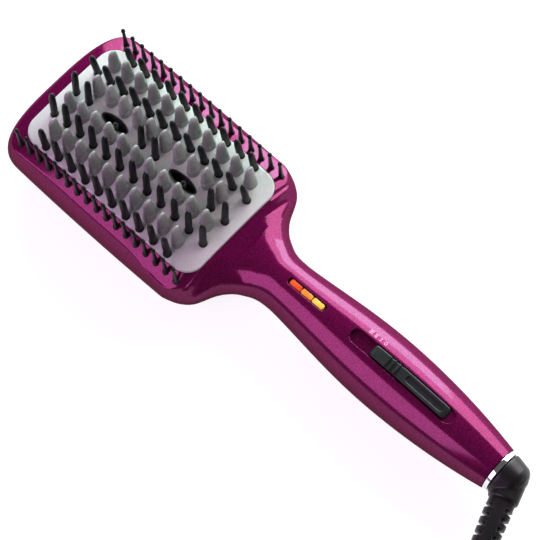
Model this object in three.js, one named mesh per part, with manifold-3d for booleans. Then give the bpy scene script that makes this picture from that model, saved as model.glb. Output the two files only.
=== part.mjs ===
// Heated paddle brush for straightening hair, lying on its back. Millimetres, +X across the head,
// +Y towards the far end of the head, +Z up out of the bristled face. The origin is the centre of the
// flat land on the back of the head.
import * as THREE from "three";
import { mergeVertices } from "three/addons/utils/BufferGeometryUtils.js";
import Module from "manifold-3d";

const wasm = await Module();
wasm.setup();

// Widths that follow from the pitch of the pins' columns
const columnPitch = 13.9;
const plateHalfWidth = 2 * columnPitch + 2.6;
const sidePinX = plateHalfWidth + 3.3;
const headHalfWidth = plateHalfWidth + 11.2;
const crownHalfWidth = plateHalfWidth + 7.9;
const trayHalfWidth = plateHalfWidth + 6.2;

// Body outline in plan
const headFarY = 63.4;
const headCornerY = 45;
const shoulderY = -45;
const sideBow = 0.6;
const neckY = -85;
const neckHalfWidth = 12.9;
const gripY = -142;
const gripHalfWidth = 17;
const endY = -206.5;
const endRadius = 10.6;

// Body heights
const axisZ = 16.5;
const headWallReach = 25;
const neckTop = 12.6;
const gripTop = 15.7;
const neckBelly = 13.2;
const bellyClearance = 0.2;
const landMargin = 16;
const wall = 2.2;
const partingGap = 0.3;
const clearance = 0.3;

// Domed face with the heated plate and the bristle lattice
const crownZ = 37;
const crownRise = 9.07;
const crownHalfLength = 61.2;
const plateHalfLength = 53.2;
const plateCorner = 9;
const plateThickness = 2.4;
const bandDrop = 0.5;
const rowPitch = 8.5;
const lastRow = 11;

// Nylon pins, heated teeth and side pins
const pinHeight = 17.8;
const pinRadius = 1.6;
const collarRadius = 1.75;
const collarHeight = 2;
const combWidth = 3;
const combThickness = 2;
const toothHeight = 15.6;
const toothHalfAcross = 3.2;
const toothHalfAlong = 2.5;
const toothFootHeight = 3;
const ridgeHalfAcross = 1.9;
const ridgeHalfAlong = 1.2;
const sidePinPitch = 6.1;
const sidePinCount = 17;
const sidePinHeight = 15;
const sidePinBase = 1.5;
const sideStripZ = 22.9;

// Ion outlets in the middle column
const outletLength = 15.5;
const outletWidth = 5;
const outletLip = 1.1;
const outletRows = [3, 8];
const outletDepth = 7;
const generatorNearY = -15;
const generatorFarY = 9;
const generatorHalfWidth = 16;

// Heater stack under the plate
const heaterX = 7;
const heaterSize = [6, 70, 3];
const heaterZ = 27;
const clampThickness = 0.8;
const trayFloorZ = 19;
const trayThickness = 2;
const trayHalfLength = 51.5;
const trayRail = [1.2, 42];
const trayPosts = [28, 30];
const sensorX = 20.85;
const sensorY = 4.25;
const leadRadius = 0.9;
const bossX = 20.85;
const bossY = 42.5;
const screwShank = 1.2;
const screwHead = 2.4;
const screwHeadHeight = 1.6;

// Light window and slide switch in the handle
const windowY = -96.3;
const windowLength = 21.8;
const windowWidth = 3.8;
const lensLength = 6.3;
const lensWidth = 2.9;
const lensThickness = 2.2;
const ledHeight = 1.6;
const ledGap = 0.4;
const recessY = -151.8;
const recessLength = 58.6;
const recessWidth = 7;
const recessFloorZ = 29;
const recessFloorThickness = 1.6;
const knobLength = 43;
const knobWidth = 5.8;
const knobY = -156;
const knobTopZ = 33;
const knobTravel = 7.5;
const knobStemY = -148;
const knobStem = [2.4, 5];
const boardTopZ = 18;
const boardThickness = 1.6;
const boardNearY = -180.5;
const boardFarY = -121;

// Cord swivel at the end of the handle
const trimLength = 2.2;
const spigotRadius = 5.2;
const swivelBendY = -214.2;
const swivelRadius = 6.9;
const cordAngle = 71.3;
const mouthReach = 10;
const leadBore = 3;
const reliefReach = 55;
const reliefRadius = 5.9;
const reliefTipRadius = 4.6;

// Mains lead, wound as stored
const cordRadius = 3;
const cordGap = 0.5;
const coilInnerRadius = 25.4;
const coilLayers = 4;
const turnsPerLayer = 2.12;
const coilLift = 1.3;
const runLength = 58;
const runRadius = 100;
const tailLength = 48;
const loopSteps = 16;

// Facets closer to a plane than this are merged
const sliver = 0.03;

const black = new THREE.MeshStandardMaterial({ color: 0x141416, roughness: 0.45 });
const nylon = new THREE.MeshStandardMaterial({ color: 0x101312, roughness: 0.4 });
const berry = new THREE.MeshStandardMaterial({ color: 0x8c0a58, roughness: 0.2, metalness: 0.35 });
const plateGrey = new THREE.MeshStandardMaterial({ color: 0xcfccc8, roughness: 0.35, metalness: 0.3 });
const chrome = new THREE.MeshStandardMaterial({ color: 0xe6e6e8, roughness: 0.1, metalness: 1 });
const steel = new THREE.MeshStandardMaterial({ color: 0x9a9ca0, roughness: 0.35, metalness: 1 });
const brass = new THREE.MeshStandardMaterial({ color: 0xb8933e, roughness: 0.3, metalness: 1 });
const ceramic = new THREE.MeshStandardMaterial({ color: 0xd8d2c4, roughness: 0.7 });
const board = new THREE.MeshStandardMaterial({ color: 0x1f6b3a, roughness: 0.5 });
const cable = new THREE.MeshStandardMaterial({ color: 0x161618, roughness: 0.55 });
const red = new THREE.MeshStandardMaterial({ color: 0xd23a1e, roughness: 0.2 });
const orange = new THREE.MeshStandardMaterial({ color: 0xe08a3c, roughness: 0.2 });
const yellow = new THREE.MeshStandardMaterial({ color: 0xe6c63c, roughness: 0.2 });
const redWire = new THREE.MeshStandardMaterial({ color: 0xa02020, roughness: 0.5 });
const blueWire = new THREE.MeshStandardMaterial({ color: 0x2040a0, roughness: 0.5 });

const brush = new THREE.Group();

// Solids from geometries, and meshes from solids
function solidOf(geometry) {
  const bare = geometry.index ? geometry.toNonIndexed() : geometry.clone();
  for (const name of Object.keys(bare.attributes)) {
    if (name !== "position") bare.deleteAttribute(name);
  }
  const merged = mergeVertices(bare, 1e-4);
  const corners = merged.index.array;
  const places = merged.attributes.position.array;
  const point = (i) => new THREE.Vector3().fromArray(places, 3 * i);
  const kept = [];
  let volume = 0;
  for (let i = 0; i < corners.length; i += 3) {
    const [a, b, c] = [corners[i], corners[i + 1], corners[i + 2]];
    if (a === b || b === c || c === a) continue;
    kept.push(a, b, c);
    volume += point(a).dot(point(b).cross(point(c)));
  }
  // Faces point outwards, whichever way round the profile was given
  if (volume < 0) kept.reverse();
  return new wasm.Manifold(
    new wasm.Mesh({ numProp: 3, vertProperties: places, triVerts: new Uint32Array(kept) }),
  );
}

function geometryOf(solid) {
  const data = solid.getMesh();
  const places = new Float32Array(data.numVert * 3);
  for (let i = 0; i < data.numVert; i++) {
    for (let k = 0; k < 3; k++) places[3 * i + k] = data.vertProperties[data.numProp * i + k];
  }
  const geometry = new THREE.BufferGeometry();
  geometry.setAttribute("position", new THREE.BufferAttribute(places, 3));
  geometry.setIndex(new THREE.BufferAttribute(new Uint32Array(data.triVerts), 1));
  geometry.computeVertexNormals();
  return geometry;
}

function join(solids) {
  return solids.reduce((all, one) => all.add(one));
}

function cut(solid, tools) {
  return tools.reduce((rest, one) => rest.subtract(one), solid);
}

function place(name, solid, material) {
  const mesh = new THREE.Mesh(geometryOf(solid.asOriginal().simplify(sliver)), material);
  mesh.name = name;
  brush.add(mesh);
  return mesh;
}

// Simple shapes. A box is given by its low and high corners.
function box(low, high) {
  const size = high.map((v, i) => v - low[i]);
  const geometry = new THREE.BoxGeometry(...size);
  geometry.translate(...low.map((v, i) => v + size[i] / 2));
  return solidOf(geometry);
}

function lathe(profile, sides) {
  // A profile of [radius, height] turned about Z
  const points = profile.map(([r, z]) => new THREE.Vector2(r, z));
  return new THREE.LatheGeometry(points, sides).rotateX(Math.PI / 2);
}

function post(radius, x, y, z0, z1, sides = 12) {
  const shape = lathe([[0, z0], [radius, z0], [radius, z1], [0, z1]], sides);
  return solidOf(shape.translate(x, y, 0));
}

function prism(shape, z0, z1, curveSegments = 3) {
  const options = { depth: z1 - z0, bevelEnabled: false, curveSegments };
  return solidOf(new THREE.ExtrudeGeometry(shape, options).translate(0, 0, z0));
}

function roundedRectangle(halfX, halfY, corner) {
  const shape = new THREE.Shape();
  const [x, y] = [halfX - corner, halfY - corner];
  shape.absarc(x, y, corner, 0, Math.PI / 2);
  shape.absarc(-x, y, corner, Math.PI / 2, Math.PI);
  shape.absarc(-x, -y, corner, Math.PI, 1.5 * Math.PI);
  shape.absarc(x, -y, corner, 1.5 * Math.PI, 2 * Math.PI);
  return shape;
}

function slotPrism(length, width, y, z0, z1) {
  const shape = roundedRectangle(width / 2, length / 2, width / 2 - 0.01);
  return prism(shape, z0, z1).translate([0, y, 0]);
}

function loft(rings) {
  // Closed surface through rings of equal count, with a flat fan over each end
  const count = rings[0].length;
  const places = rings.flat().flatMap((p) => [p.x, p.y, p.z]);
  const corners = [];
  for (let i = 0; i + 1 < rings.length; i++) {
    for (let j = 0; j < count; j++) {
      const k = (j + 1) % count;
      const [a, b, c, d] = [i * count + j, i * count + k, (i + 1) * count + j, (i + 1) * count + k];
      corners.push(a, b, c, b, d, c);
    }
  }
  for (const i of [0, rings.length - 1]) {
    const start = i * count;
    const middle = places.length / 3;
    const ring = rings[i];
    const centre = ring.reduce((sum, p) => sum.add(p), new THREE.Vector3()).divideScalar(count);
    places.push(centre.x, centre.y, centre.z);
    for (let j = 0; j < count; j++) {
      const k = (j + 1) % count;
      if (i === 0) corners.push(middle, start + k, start + j);
      else corners.push(middle, start + j, start + k);
    }
  }
  const geometry = new THREE.BufferGeometry();
  geometry.setAttribute("position", new THREE.Float32BufferAttribute(places, 3));
  geometry.setIndex(corners);
  return geometry;
}

function tube(points, directions, radius, sides) {
  // A round section carried along the points without twist
  const up = Math.abs(directions[0].z) > 0.9 ? new THREE.Vector3(1, 0, 0) : new THREE.Vector3(0, 0, 1);
  const rings = points.map((point, i) => {
    const along = directions[i];
    up.addScaledVector(along, -up.dot(along)).normalize();
    const side = new THREE.Vector3().crossVectors(along, up);
    return Array.from({ length: sides }, (_, j) => {
      const turn = (2 * Math.PI * (j + 0.5)) / sides;
      return point.clone()
        .addScaledVector(side, radius * Math.cos(turn))
        .addScaledVector(up, radius * Math.sin(turn));
    });
  });
  return solidOf(loft(rings));
}

function mix(a, b, t) {
  return a + (b - a) * t;
}

function smooth(t) {
  const u = Math.min(1, Math.max(0, t));
  return u * u * (3 - 2 * u);
}

function splineAt(keys, t) {
  // Smooth curve through [place, value] keys
  let i = 0;
  while (i < keys.length - 2 && t > keys[i + 1][0]) i++;
  const slope = (j) => {
    const [a, b] = [keys[Math.max(j - 1, 0)], keys[Math.min(j + 1, keys.length - 1)]];
    return (b[1] - a[1]) / (b[0] - a[0]);
  };
  const [[t0, v0], [t1, v1]] = [keys[i], keys[i + 1]];
  const span = t1 - t0;
  const u = (t - t0) / span;
  return (
    v0 * (1 + 2 * u) * (1 - u) ** 2 + v1 * u * u * (3 - 2 * u) +
    span * u * (1 - u) * (slope(i) * (1 - u) - slope(i + 1) * u)
  );
}

// Plan outline: square head with bowed sides and round corners, curved shoulders, waisted neck, full grip
const shoulderCurve = [
  [0, 0], [0.125, 0.008], [0.225, 0.036], [0.325, 0.103], [0.425, 0.192], [0.525, 0.345], [0.575, 0.47],
  [0.625, 0.63], [0.675, 0.75], [0.75, 0.848], [0.85, 0.93], [1, 1],
];

function headSide(y) {
  const middle = (headCornerY + shoulderY) / 2;
  return headHalfWidth - sideBow * ((y - middle) / (headCornerY - middle)) ** 2;
}

function neckToGrip(y, atNeck, atGrip) {
  return mix(atNeck, atGrip, Math.sin((Math.PI / 2) * ((neckY - y) / (neckY - gripY))) ** 1.3);
}

function gripToEnd(y, atGrip, atEnd) {
  return mix(atGrip, atEnd, ((gripY - y) / (gripY - endY)) ** 2);
}

function halfWidth(y) {
  if (y > headCornerY) {
    const reach = Math.min(1, (y - headCornerY) / (headFarY - headCornerY));
    return headSide(headCornerY) * Math.cbrt(1 - reach ** 3);
  }
  if (y > shoulderY) return headSide(y);
  if (y > neckY) {
    const share = splineAt(shoulderCurve, (y - neckY) / (shoulderY - neckY));
    return mix(neckHalfWidth, headSide(shoulderY), share);
  }
  if (y > gripY) return neckToGrip(y, neckHalfWidth, gripHalfWidth);
  return gripToEnd(y, gripHalfWidth, endRadius);
}

const outline = [];
for (let i = 0; i <= 24; i++) {
  const turn = (Math.PI / 2) * (i / 24);
  const y = mix(headCornerY, headFarY, Math.cos(turn) ** 0.6);
  outline.push(new THREE.Vector2(halfWidth(y), y));
}
const outlineSteps = 150;
for (let i = 1; i <= outlineSteps; i++) {
  const y = mix(headCornerY, endY - 20, i / outlineSteps);
  outline.push(new THREE.Vector2(halfWidth(Math.max(y, endY)), y));
}

function inset(x, y) {
  // Distance from a point inside the body to its outline in plan
  const p = new THREE.Vector2(Math.abs(x), y);
  let least = Infinity;
  for (let i = 0; i + 1 < outline.length; i++) {
    const a = outline[i];
    const edge = outline[i + 1].clone().sub(a);
    const t = Math.min(1, Math.max(0, p.clone().sub(a).dot(edge) / edge.lengthSq()));
    least = Math.min(least, p.distanceTo(a.clone().addScaledVector(edge, t)));
  }
  return least;
}

// Between neck and shoulder, by the share of the way: how far the top has risen, and how boxy its section is
const neckRise = [
  [0, 0], [0.225, -0.016], [0.375, -0.032], [0.475, -0.048], [0.55, -0.052], [0.625, -0.024], [0.725, 0.032],
  [0.85, 0.355], [1, 1],
];
const neckPower = [
  [0, 2], [0.225, 1.88], [0.375, 1.88], [0.475, 1.7], [0.55, 1.55], [0.625, 1.5], [0.725, 1.6], [1, 2],
];

function domeZ(x, y) {
  const across = Math.max(0, 1 - (x / crownHalfWidth) ** 2);
  const along = Math.max(0, 1 - (y / crownHalfLength) ** 2);
  return crownZ - crownRise + crownRise * across * along;
}

function beyondPlate(x, y) {
  const over = (at, half) => Math.max(Math.abs(at) - (half - plateCorner), 0);
  return Math.max(Math.hypot(over(x, plateHalfWidth), over(y, plateHalfLength)) - plateCorner, 0);
}

// The face lies inside this limit: the dome over the head, steeper past the plate's corners, released at the neck
function faceZ(x, y) {
  const corner = smooth((Math.abs(x) - 8) / 20) * smooth((Math.abs(y) - 20) / 30);
  const release = 0.8 * Math.max(0, -crownHalfLength - y);
  return domeZ(x, y) - bandDrop - 0.16 * corner * beyondPlate(x, y) + release;
}

function neckShare(y) {
  return Math.min(1, Math.max(0, (y - neckY) / (shoulderY - neckY)));
}

function topReach(y) {
  if (y > neckY) return mix(neckTop, headWallReach, splineAt(neckRise, neckShare(y)));
  if (y > gripY) return neckToGrip(y, neckTop, gripTop);
  return gripToEnd(y, gripTop, endRadius - 0.2);
}

function bellyReach(y) {
  if (y > neckY) return mix(neckBelly, axisZ, smooth((y - neckY) / (shoulderY - neckY)));
  if (y > gripY) return neckToGrip(y, neckBelly, axisZ - bellyClearance);
  return gripToEnd(y, axisZ - bellyClearance, endRadius - 0.2);
}

function roundness(y, most) {
  return y > 0 ? most : Math.min(most, inset(0, y));
}

function bulge(depth, most) {
  const t = Math.min(1, Math.max(0, depth) / most);
  return Math.sqrt(2 * t - t * t);
}

function bodyTop(x, y, skin = 0, width = halfWidth(y)) {
  const across = Math.min(1, Math.abs(x) / Math.max(width, 0.01));
  const power = splineAt(neckPower, neckShare(y));
  const section = (topReach(y) - skin) * (1 - across ** power) ** (1 / power);
  const wallForm = (headWallReach - skin) * bulge(inset(x, y) - skin, roundness(y, 40) - skin);
  const side = axisZ + mix(section, wallForm, smooth((neckShare(y) - 0.68) / 0.25));
  return Math.min(side, faceZ(x, y) - skin);
}

function bodyBottom(x, y, skin = 0) {
  const depth = inset(x, y) - skin;
  return axisZ - (bellyReach(y) - skin) * bulge(depth, roundness(y, landMargin) - skin);
}

function widthInside(y, skin) {
  let [low, high] = [0, halfWidth(y)];
  for (let i = 0; i < 30; i++) {
    const x = (low + high) / 2;
    if (inset(x, y) > skin) low = x;
    else high = x;
  }
  return low;
}

function bodySolid(stations, skin, topSteps, bottomSteps) {
  const rings = stations.map((y) => {
    const width = skin ? widthInside(y, skin) : halfWidth(y);
    const ring = [];
    for (let j = 0; j <= topSteps; j++) {
      const x = width * Math.sin(Math.PI * (j / topSteps - 0.5));
      ring.push(new THREE.Vector3(x, y, bodyTop(x, y, skin, width)));
    }
    for (let j = bottomSteps - 1; j > 0; j--) {
      const x = width * Math.sin(Math.PI * (j / bottomSteps - 0.5));
      ring.push(new THREE.Vector3(x, y, bodyBottom(x, y, skin)));
    }
    return ring;
  });
  return solidOf(loft(rings));
}

const creaseY = -crownHalfLength;
const headStations = [0.999, 0.96, 0.85, 0.65, 0.38].map((t) => mix(headCornerY, headFarY, t));
const bodyStations = [
  ...headStations,
  ...[headCornerY, 28, 10, -8, -26],
  ...[0, 0.14, 0.28].map((t) => mix(shoulderY, neckY, t)),
  creaseY,
  ...[0.47, 0.54, 0.61, 0.7, 0.83, 1].map((t) => mix(shoulderY, neckY, t)),
  ...[0.17, 0.35, 0.55, 0.77, 1].map((t) => mix(neckY, gripY, t)),
  ...[0.25, 0.5, 0.72, 0.88, 1].map((t) => mix(gripY, endY, t)),
];
const innerFarY = headFarY - wall - 0.05;
const cavityStations = [
  ...[innerFarY, innerFarY - 1.5, innerFarY - 5, innerFarY - 10],
  ...[headCornerY - 3, 20, -5, -30],
  ...[0, 0.14, 0.25].map((t) => mix(shoulderY, neckY, t)),
  creaseY,
  ...[0.5, 0.6, 0.75, 1].map((t) => mix(shoulderY, neckY, t)),
  ...[0.35, 0.7, 1].map((t) => mix(neckY, gripY, t)),
  ...[0.4, 0.75, 1].map((t) => mix(gripY, endY, t)),
];

const bodyOuter = bodySolid(bodyStations, 0, 14, 12);
const endBore = post(endRadius - wall - 0.2, 0, 0, -8, 1, 20)
  .rotate([90, 0, 0])
  .translate([0, endY, axisZ]);
const bodyInner = bodySolid(cavityStations, wall, 12, 8).add(endBore);
const far = 400;
const above = box([-far, -far, axisZ + partingGap / 2], [far, far, far]);
const below = box([-far, -far, -far], [far, far, axisZ - partingGap / 2]);

// Screws that close the body from behind: [x, y]
const bodyScrews = [[-24, 56.5], [24, 56.5], [-11, -68], [11, -68], [0, -115.5], [0, -185]];
const bodyBoss = 3.6;
const screwWellZ = 8.5;
const bodyScrewLength = 14;

function screwHoles() {
  return bodyScrews.flatMap(([x, y]) => [
    post(screwShank + clearance, x, y, screwWellZ - 1, screwWellZ + bodyScrewLength - 0.5, 6),
    post(screwHead + clearance, x, y, -1, screwWellZ, 8),
  ]);
}

function bossesIn(space) {
  return join(bodyScrews.map(([x, y]) => post(bodyBoss, x, y, 0.5, crownZ, 8)))
    .intersect(bodyOuter)
    .intersect(space);
}

// Bristle lattice
function rowY(row) {
  return (lastRow / 2 - row) * rowPitch;
}

function range(first, last) {
  return Array.from({ length: last - first + 1 }, (_, i) => first + i);
}

const combs = [
  { name: "pin_comb_left_outer", column: -2, rows: range(1, lastRow - 1) },
  { name: "pin_comb_left_inner", column: -1, rows: range(0, lastRow) },
  { name: "pin_comb_centre_far", column: 0, rows: [0, 1] },
  { name: "pin_comb_centre_middle", column: 0, rows: [5, 6] },
  { name: "pin_comb_centre_near", column: 0, rows: [10, 11] },
  { name: "pin_comb_right_inner", column: 1, rows: range(0, lastRow) },
  { name: "pin_comb_right_outer", column: 2, rows: range(1, lastRow - 1) },
];
const toothColumns = [
  { column: -1.5, firstRow: 1, count: 10 },
  { column: -0.5, firstRow: 0.5, count: 11 },
  { column: 0.5, firstRow: 1, count: 10 },
  { column: 1.5, firstRow: 0.5, count: 11 },
];

// Front housing: the domed frame round the plate, the neck and the upper half of the handle
function frontHousing() {
  const openingX = plateHalfWidth + clearance;
  const openingY = plateHalfLength + clearance;
  const opening = prism(roundedRectangle(openingX, openingY, plateCorner + clearance), axisZ + 4, crownZ + 9);
  const shell = bodyOuter.subtract(bodyInner).intersect(above);
  const floorBlock = box(
    [-recessWidth / 2 - 1.4, recessY - recessLength / 2 - 1.4, recessFloorZ - recessFloorThickness],
    [recessWidth / 2 + 1.4, recessY + recessLength / 2 + 1.4, crownZ],
  ).intersect(bodyOuter);
  const pinHoles = [];
  for (let i = 0; i < sidePinCount; i++) {
    for (const side of [-1, 1]) {
      pinHoles.push(post(sidePinBase + clearance, side * sidePinX, sidePinY(i), sideStripZ, crownZ, 6));
    }
  }
  const stemReach = knobStem[1] / 2 + 2 * clearance;
  return cut(join([shell, floorBlock, bossesIn(above)]), [
    opening,
    slotPrism(recessLength, recessWidth, recessY, recessFloorZ, crownZ),
    box(
      [-knobStem[0] / 2 - clearance, knobStemY - stemReach, axisZ + 5],
      [knobStem[0] / 2 + clearance, knobStemY + knobTravel + stemReach, recessFloorZ + 1],
    ),
    slotPrism(windowLength, windowWidth, windowY, axisZ + 8, crownZ),
    ...pinHoles,
    ...screwHoles(),
  ]);
}

function rearCover() {
  const shell = bodyOuter.subtract(bodyInner).intersect(below);
  const posts = [-1, 1].flatMap((a) =>
    [-1, 1].map((b) => post(2.4, a * trayPosts[0], b * trayPosts[1], wall / 2, trayFloorZ - clearance, 8)),
  );
  return cut(join([shell, bossesIn(below), ...posts]), screwHoles());
}

// Heated plate: a domed casting with blade teeth, through holes for the pins and rails for the heaters
function domeSlab(top, bottom, halfX, halfY, corner, steps) {
  const rings = [];
  const flat = halfY - corner;
  const ends = [1, 0.92, 0.7, 0.38, 0];
  const stations = [
    ...ends.map((t) => flat + corner * t),
    ...[0.66, 0.33, 0, -0.33, -0.66].map((t) => flat * t),
    ...ends.slice().reverse().map((t) => -flat - corner * t),
  ];
  for (const y of stations) {
    const over = Math.max(0, Math.abs(y) - flat);
    const width = halfX - corner + Math.sqrt(Math.max(0, corner * corner - over * over));
    const ring = [];
    for (let j = 0; j <= steps; j++) {
      const x = width * (2 * (j / steps) - 1);
      ring.push(new THREE.Vector3(x, y, top(x, y)));
    }
    for (let j = steps; j >= 0; j--) {
      const x = width * (2 * (j / steps) - 1);
      ring.push(new THREE.Vector3(x, y, bottom(x, y)));
    }
    rings.push(ring);
  }
  return solidOf(loft(rings));
}

function ellipseRing(x, y, z, a, b, sides) {
  return Array.from({ length: sides }, (_, j) => {
    const turn = (2 * Math.PI * j) / sides;
    return new THREE.Vector3(x + a * Math.cos(turn), y + b * Math.sin(turn), z);
  });
}

function tooth(x, y) {
  const z = domeZ(x, y);
  const levels = [
    [-1.2, 1, 1],
    [toothFootHeight, 0.93, 0.88],
    [toothHeight, ridgeHalfAcross / toothHalfAcross, ridgeHalfAlong / toothHalfAlong],
  ];
  const rings = levels.map(([h, a, b]) =>
    ellipseRing(x, y, z + h, toothHalfAcross * a, toothHalfAlong * b, 6),
  );
  return solidOf(loft(rings));
}

function heatingPlate() {
  const under = (x, y) => domeZ(x, y) - plateThickness;
  const slab = domeSlab(domeZ, under, plateHalfWidth, plateHalfLength, plateCorner, 6);
  const filled = domeSlab((x, y) => domeZ(x, y) - 1, () => trayFloorZ, plateHalfWidth - 1, plateHalfLength - 1, plateCorner, 6);
  const rails = [-1, 1].map((side) =>
    box(
      [side * heaterX - heaterSize[0] / 2, -heaterSize[1] / 2, heaterZ + heaterSize[2] + clearance],
      [side * heaterX + heaterSize[0] / 2, heaterSize[1] / 2, crownZ],
    ),
  );
  const bosses = plateBosses().map(([x, y]) => post(2.6, x, y, trayFloorZ + trayThickness + clearance, crownZ, 8));
  const teeth = toothColumns.flatMap(({ column, firstRow, count }) =>
    range(0, count - 1).map((i) => tooth(column * columnPitch, rowY(firstRow + i))),
  );
  const holes = combs.flatMap(({ column, rows }) =>
    rows.map((row) => post(collarRadius + clearance, column * columnPitch, rowY(row), axisZ, crownZ + 1, 6)),
  );
  const slots = outletRows.map((row) =>
    slotPrism(outletLength + 2 * clearance, outletWidth + 2 * clearance, rowY(row), axisZ, crownZ + 1),
  );
  const pilots = plateBosses().map(([x, y]) => post(screwShank + clearance, x, y, trayFloorZ, trayFloorZ + 9, 6));
  return cut(join([slab, join([...rails, ...bosses]).intersect(filled), ...teeth]), [...holes, ...slots, ...pilots]);
}

function plateBosses() {
  return [[-bossX, -bossY], [bossX, -bossY], [-bossX, bossY], [bossX, bossY]];
}

// Pin combs: pins of one column stand on a bar that follows the underside of the dome
function pin(x, y, z, height) {
  const profile = [
    [0, -1.6], [collarRadius, -1.6], [collarRadius * 0.9, plateThickness + collarHeight],
    [pinRadius, plateThickness + collarHeight + 0.3], [pinRadius * 0.88, plateThickness + height * 0.7],
    [pinRadius * 0.45, plateThickness + height], [0, plateThickness + height],
  ];
  return solidOf(lathe(profile, 6).translate(x, y, z));
}

function pinComb({ column, rows }) {
  const x = column * columnPitch;
  const ends = [rowY(rows[0]) + 2.6, rowY(rows[rows.length - 1]) - 2.6];
  const steps = rows.length > 2 ? 6 : 1;
  const rings = range(0, steps).map((i) => {
    const y = mix(ends[0], ends[1], i / steps);
    const top = Math.min(domeZ(x - combWidth / 2, y), domeZ(x + combWidth / 2, y)) - plateThickness - clearance;
    return [
      new THREE.Vector3(x - combWidth / 2, y, top),
      new THREE.Vector3(x + combWidth / 2, y, top),
      new THREE.Vector3(x + combWidth / 2, y, top - combThickness),
      new THREE.Vector3(x - combWidth / 2, y, top - combThickness),
    ];
  });
  const pins = rows.map((row) => pin(x, rowY(row), domeZ(x, rowY(row)) - plateThickness, pinHeight));
  return join([solidOf(loft(rings)), ...pins]);
}

// Side strips: rows of slimmer pins that come up through the frame
function sidePinY(i) {
  return ((sidePinCount - 1) / 2 - i) * sidePinPitch;
}

function sideStrip(side) {
  const x = side * sidePinX;
  const reach = sidePinY(0) + 1.7;
  const bar = box([x - 1.5, -reach, trayFloorZ + trayThickness + clearance], [x + 1.5, reach, sideStripZ]);
  const pins = range(0, sidePinCount - 1).map((i) => {
    const y = sidePinY(i);
    const base = bodyTop(x, y) - sideStripZ;
    const profile = [
      [0, -0.5], [sidePinBase, -0.5], [sidePinBase, base + 0.4], [0.95, base + 1.6],
      [0.8, base + sidePinHeight], [0, base + sidePinHeight],
    ];
    return solidOf(lathe(profile, 6).translate(x, y, sideStripZ));
  });
  return join([bar, ...pins]);
}

// Ion outlets: oval cups that reach up to the plate, each with an emitter needle in its holder
function ionOutlet(row) {
  const y = rowY(row);
  const top = domeZ(0, Math.abs(y) + outletLength / 2) + 0.2;
  const cup = slotPrism(outletLength, outletWidth, y, top - outletDepth, top);
  const hollow = slotPrism(outletLength - 2 * outletLip, outletWidth - 2 * outletLip, y, top - outletDepth + 1.2, top + 1);
  return cup.subtract(hollow);
}

function emitter(row) {
  const z = domeZ(0, Math.abs(rowY(row)) + outletLength / 2) + 0.2 - outletDepth + 1.2 + clearance;
  return solidOf(
    lathe([[0, z], [1.1, z], [1.1, z + 1.6], [0.35, z + 1.8], [0.1, z + 4], [0, z + 4]], 8)
      .translate(0, rowY(row), 0),
  );
}

// Tray that carries heaters, combs, side strips and sensors; its rails bear against the housing
function heaterTray() {
  const floor = prism(roundedRectangle(trayHalfWidth, trayHalfLength, plateCorner), trayFloorZ, trayFloorZ + trayThickness);
  const rails = [-1, 1].map((side) => box(
    [side * trayHalfWidth - trayRail[0] * (side > 0 ? 1 : 0), -trayRail[1], trayFloorZ],
    [side * trayHalfWidth + trayRail[0] * (side > 0 ? 0 : 1), trayRail[1], crownZ],
  ));
  const bearing = join([floor, ...rails]).intersect(bodySolid(cavityStations, wall + clearance, 12, 8));
  const ribTop = heaterZ - 2 * clearance - clampThickness;
  const ribs = [-1, 1].flatMap((side) =>
    [-26, 0, 26].map((y) => box([side * heaterX - 3, y - 1, trayFloorZ + 1], [side * heaterX + 3, y + 1, ribTop])),
  );
  const combPosts = combs.flatMap(({ column, rows }) => {
    const x = column * columnPitch;
    return [rows[0], rows[rows.length - 1]].map((row) => {
      const y = rowY(row);
      const top = domeZ(Math.abs(x) + combWidth / 2, Math.abs(y) + 1) - plateThickness - combThickness;
      return box([x - 1.2, y - 1, trayFloorZ + 1], [x + 1.2, y + 1, top - 2 * clearance]);
    });
  });
  const sensorPosts = [-1, 1].map((side) =>
    box([side * sensorX - 1.2, -sensorY + 1, trayFloorZ + 1], [side * sensorX + 1.2, sensorY - 1, sensorZ() - clearance]),
  );
  const holes = plateBosses().map(([x, y]) => post(screwShank + clearance, x, y, trayFloorZ - 1, trayFloorZ + 3, 6));
  const passages = [
    ...outletRows.map((row) => post(leadRadius + 0.8, 0, rowY(row), trayFloorZ - 1, trayFloorZ + 3, 6)),
    ...[-1, 1].map((side) => post(leadRadius + 0.8, side * heaterX, heaterLeadY, trayFloorZ - 1, trayFloorZ + 3, 6)),
  ];
  return cut(join([bearing, ...ribs, ...combPosts, ...sensorPosts]), [...holes, ...passages]);
}

// Sensors lie along Y close under the plate
const sensorRadius = 1.5;
const heaterLeadY = -heaterSize[1] / 2 - 7;

function sensorZ() {
  return domeZ(sensorX + sensorRadius, sensorY) - plateThickness - clearance - 2 * sensorRadius;
}

function sensor(side, radius, halfLength) {
  const profile = [[0, -halfLength], [radius * 0.6, -halfLength], [radius, -halfLength + 1], [radius, halfLength - 1], [radius * 0.6, halfLength], [0, halfLength]];
  return solidOf(lathe(profile, 10).rotateX(-Math.PI / 2).translate(side * sensorX, 0, sensorZ() + radius));
}

function screw(x, y, headZ, length) {
  const profile = [
    [0, headZ], [screwHead, headZ], [screwHead, headZ + screwHeadHeight * 0.6], [screwShank, headZ + screwHeadHeight],
    [screwShank, headZ + length - 1], [0, headZ + length],
  ];
  return solidOf(lathe(profile, 8).translate(x, y, 0));
}

// Handle: light window, slide switch and boards
function sectionTopAt(y) {
  return bodyTop(0, y);
}

function lensPlace(index) {
  const y = windowY + (1 - index) * (lensLength + clearance);
  return [y, Math.min(sectionTopAt(y - lensLength / 2), sectionTopAt(y + lensLength / 2)) - 0.5];
}

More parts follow.
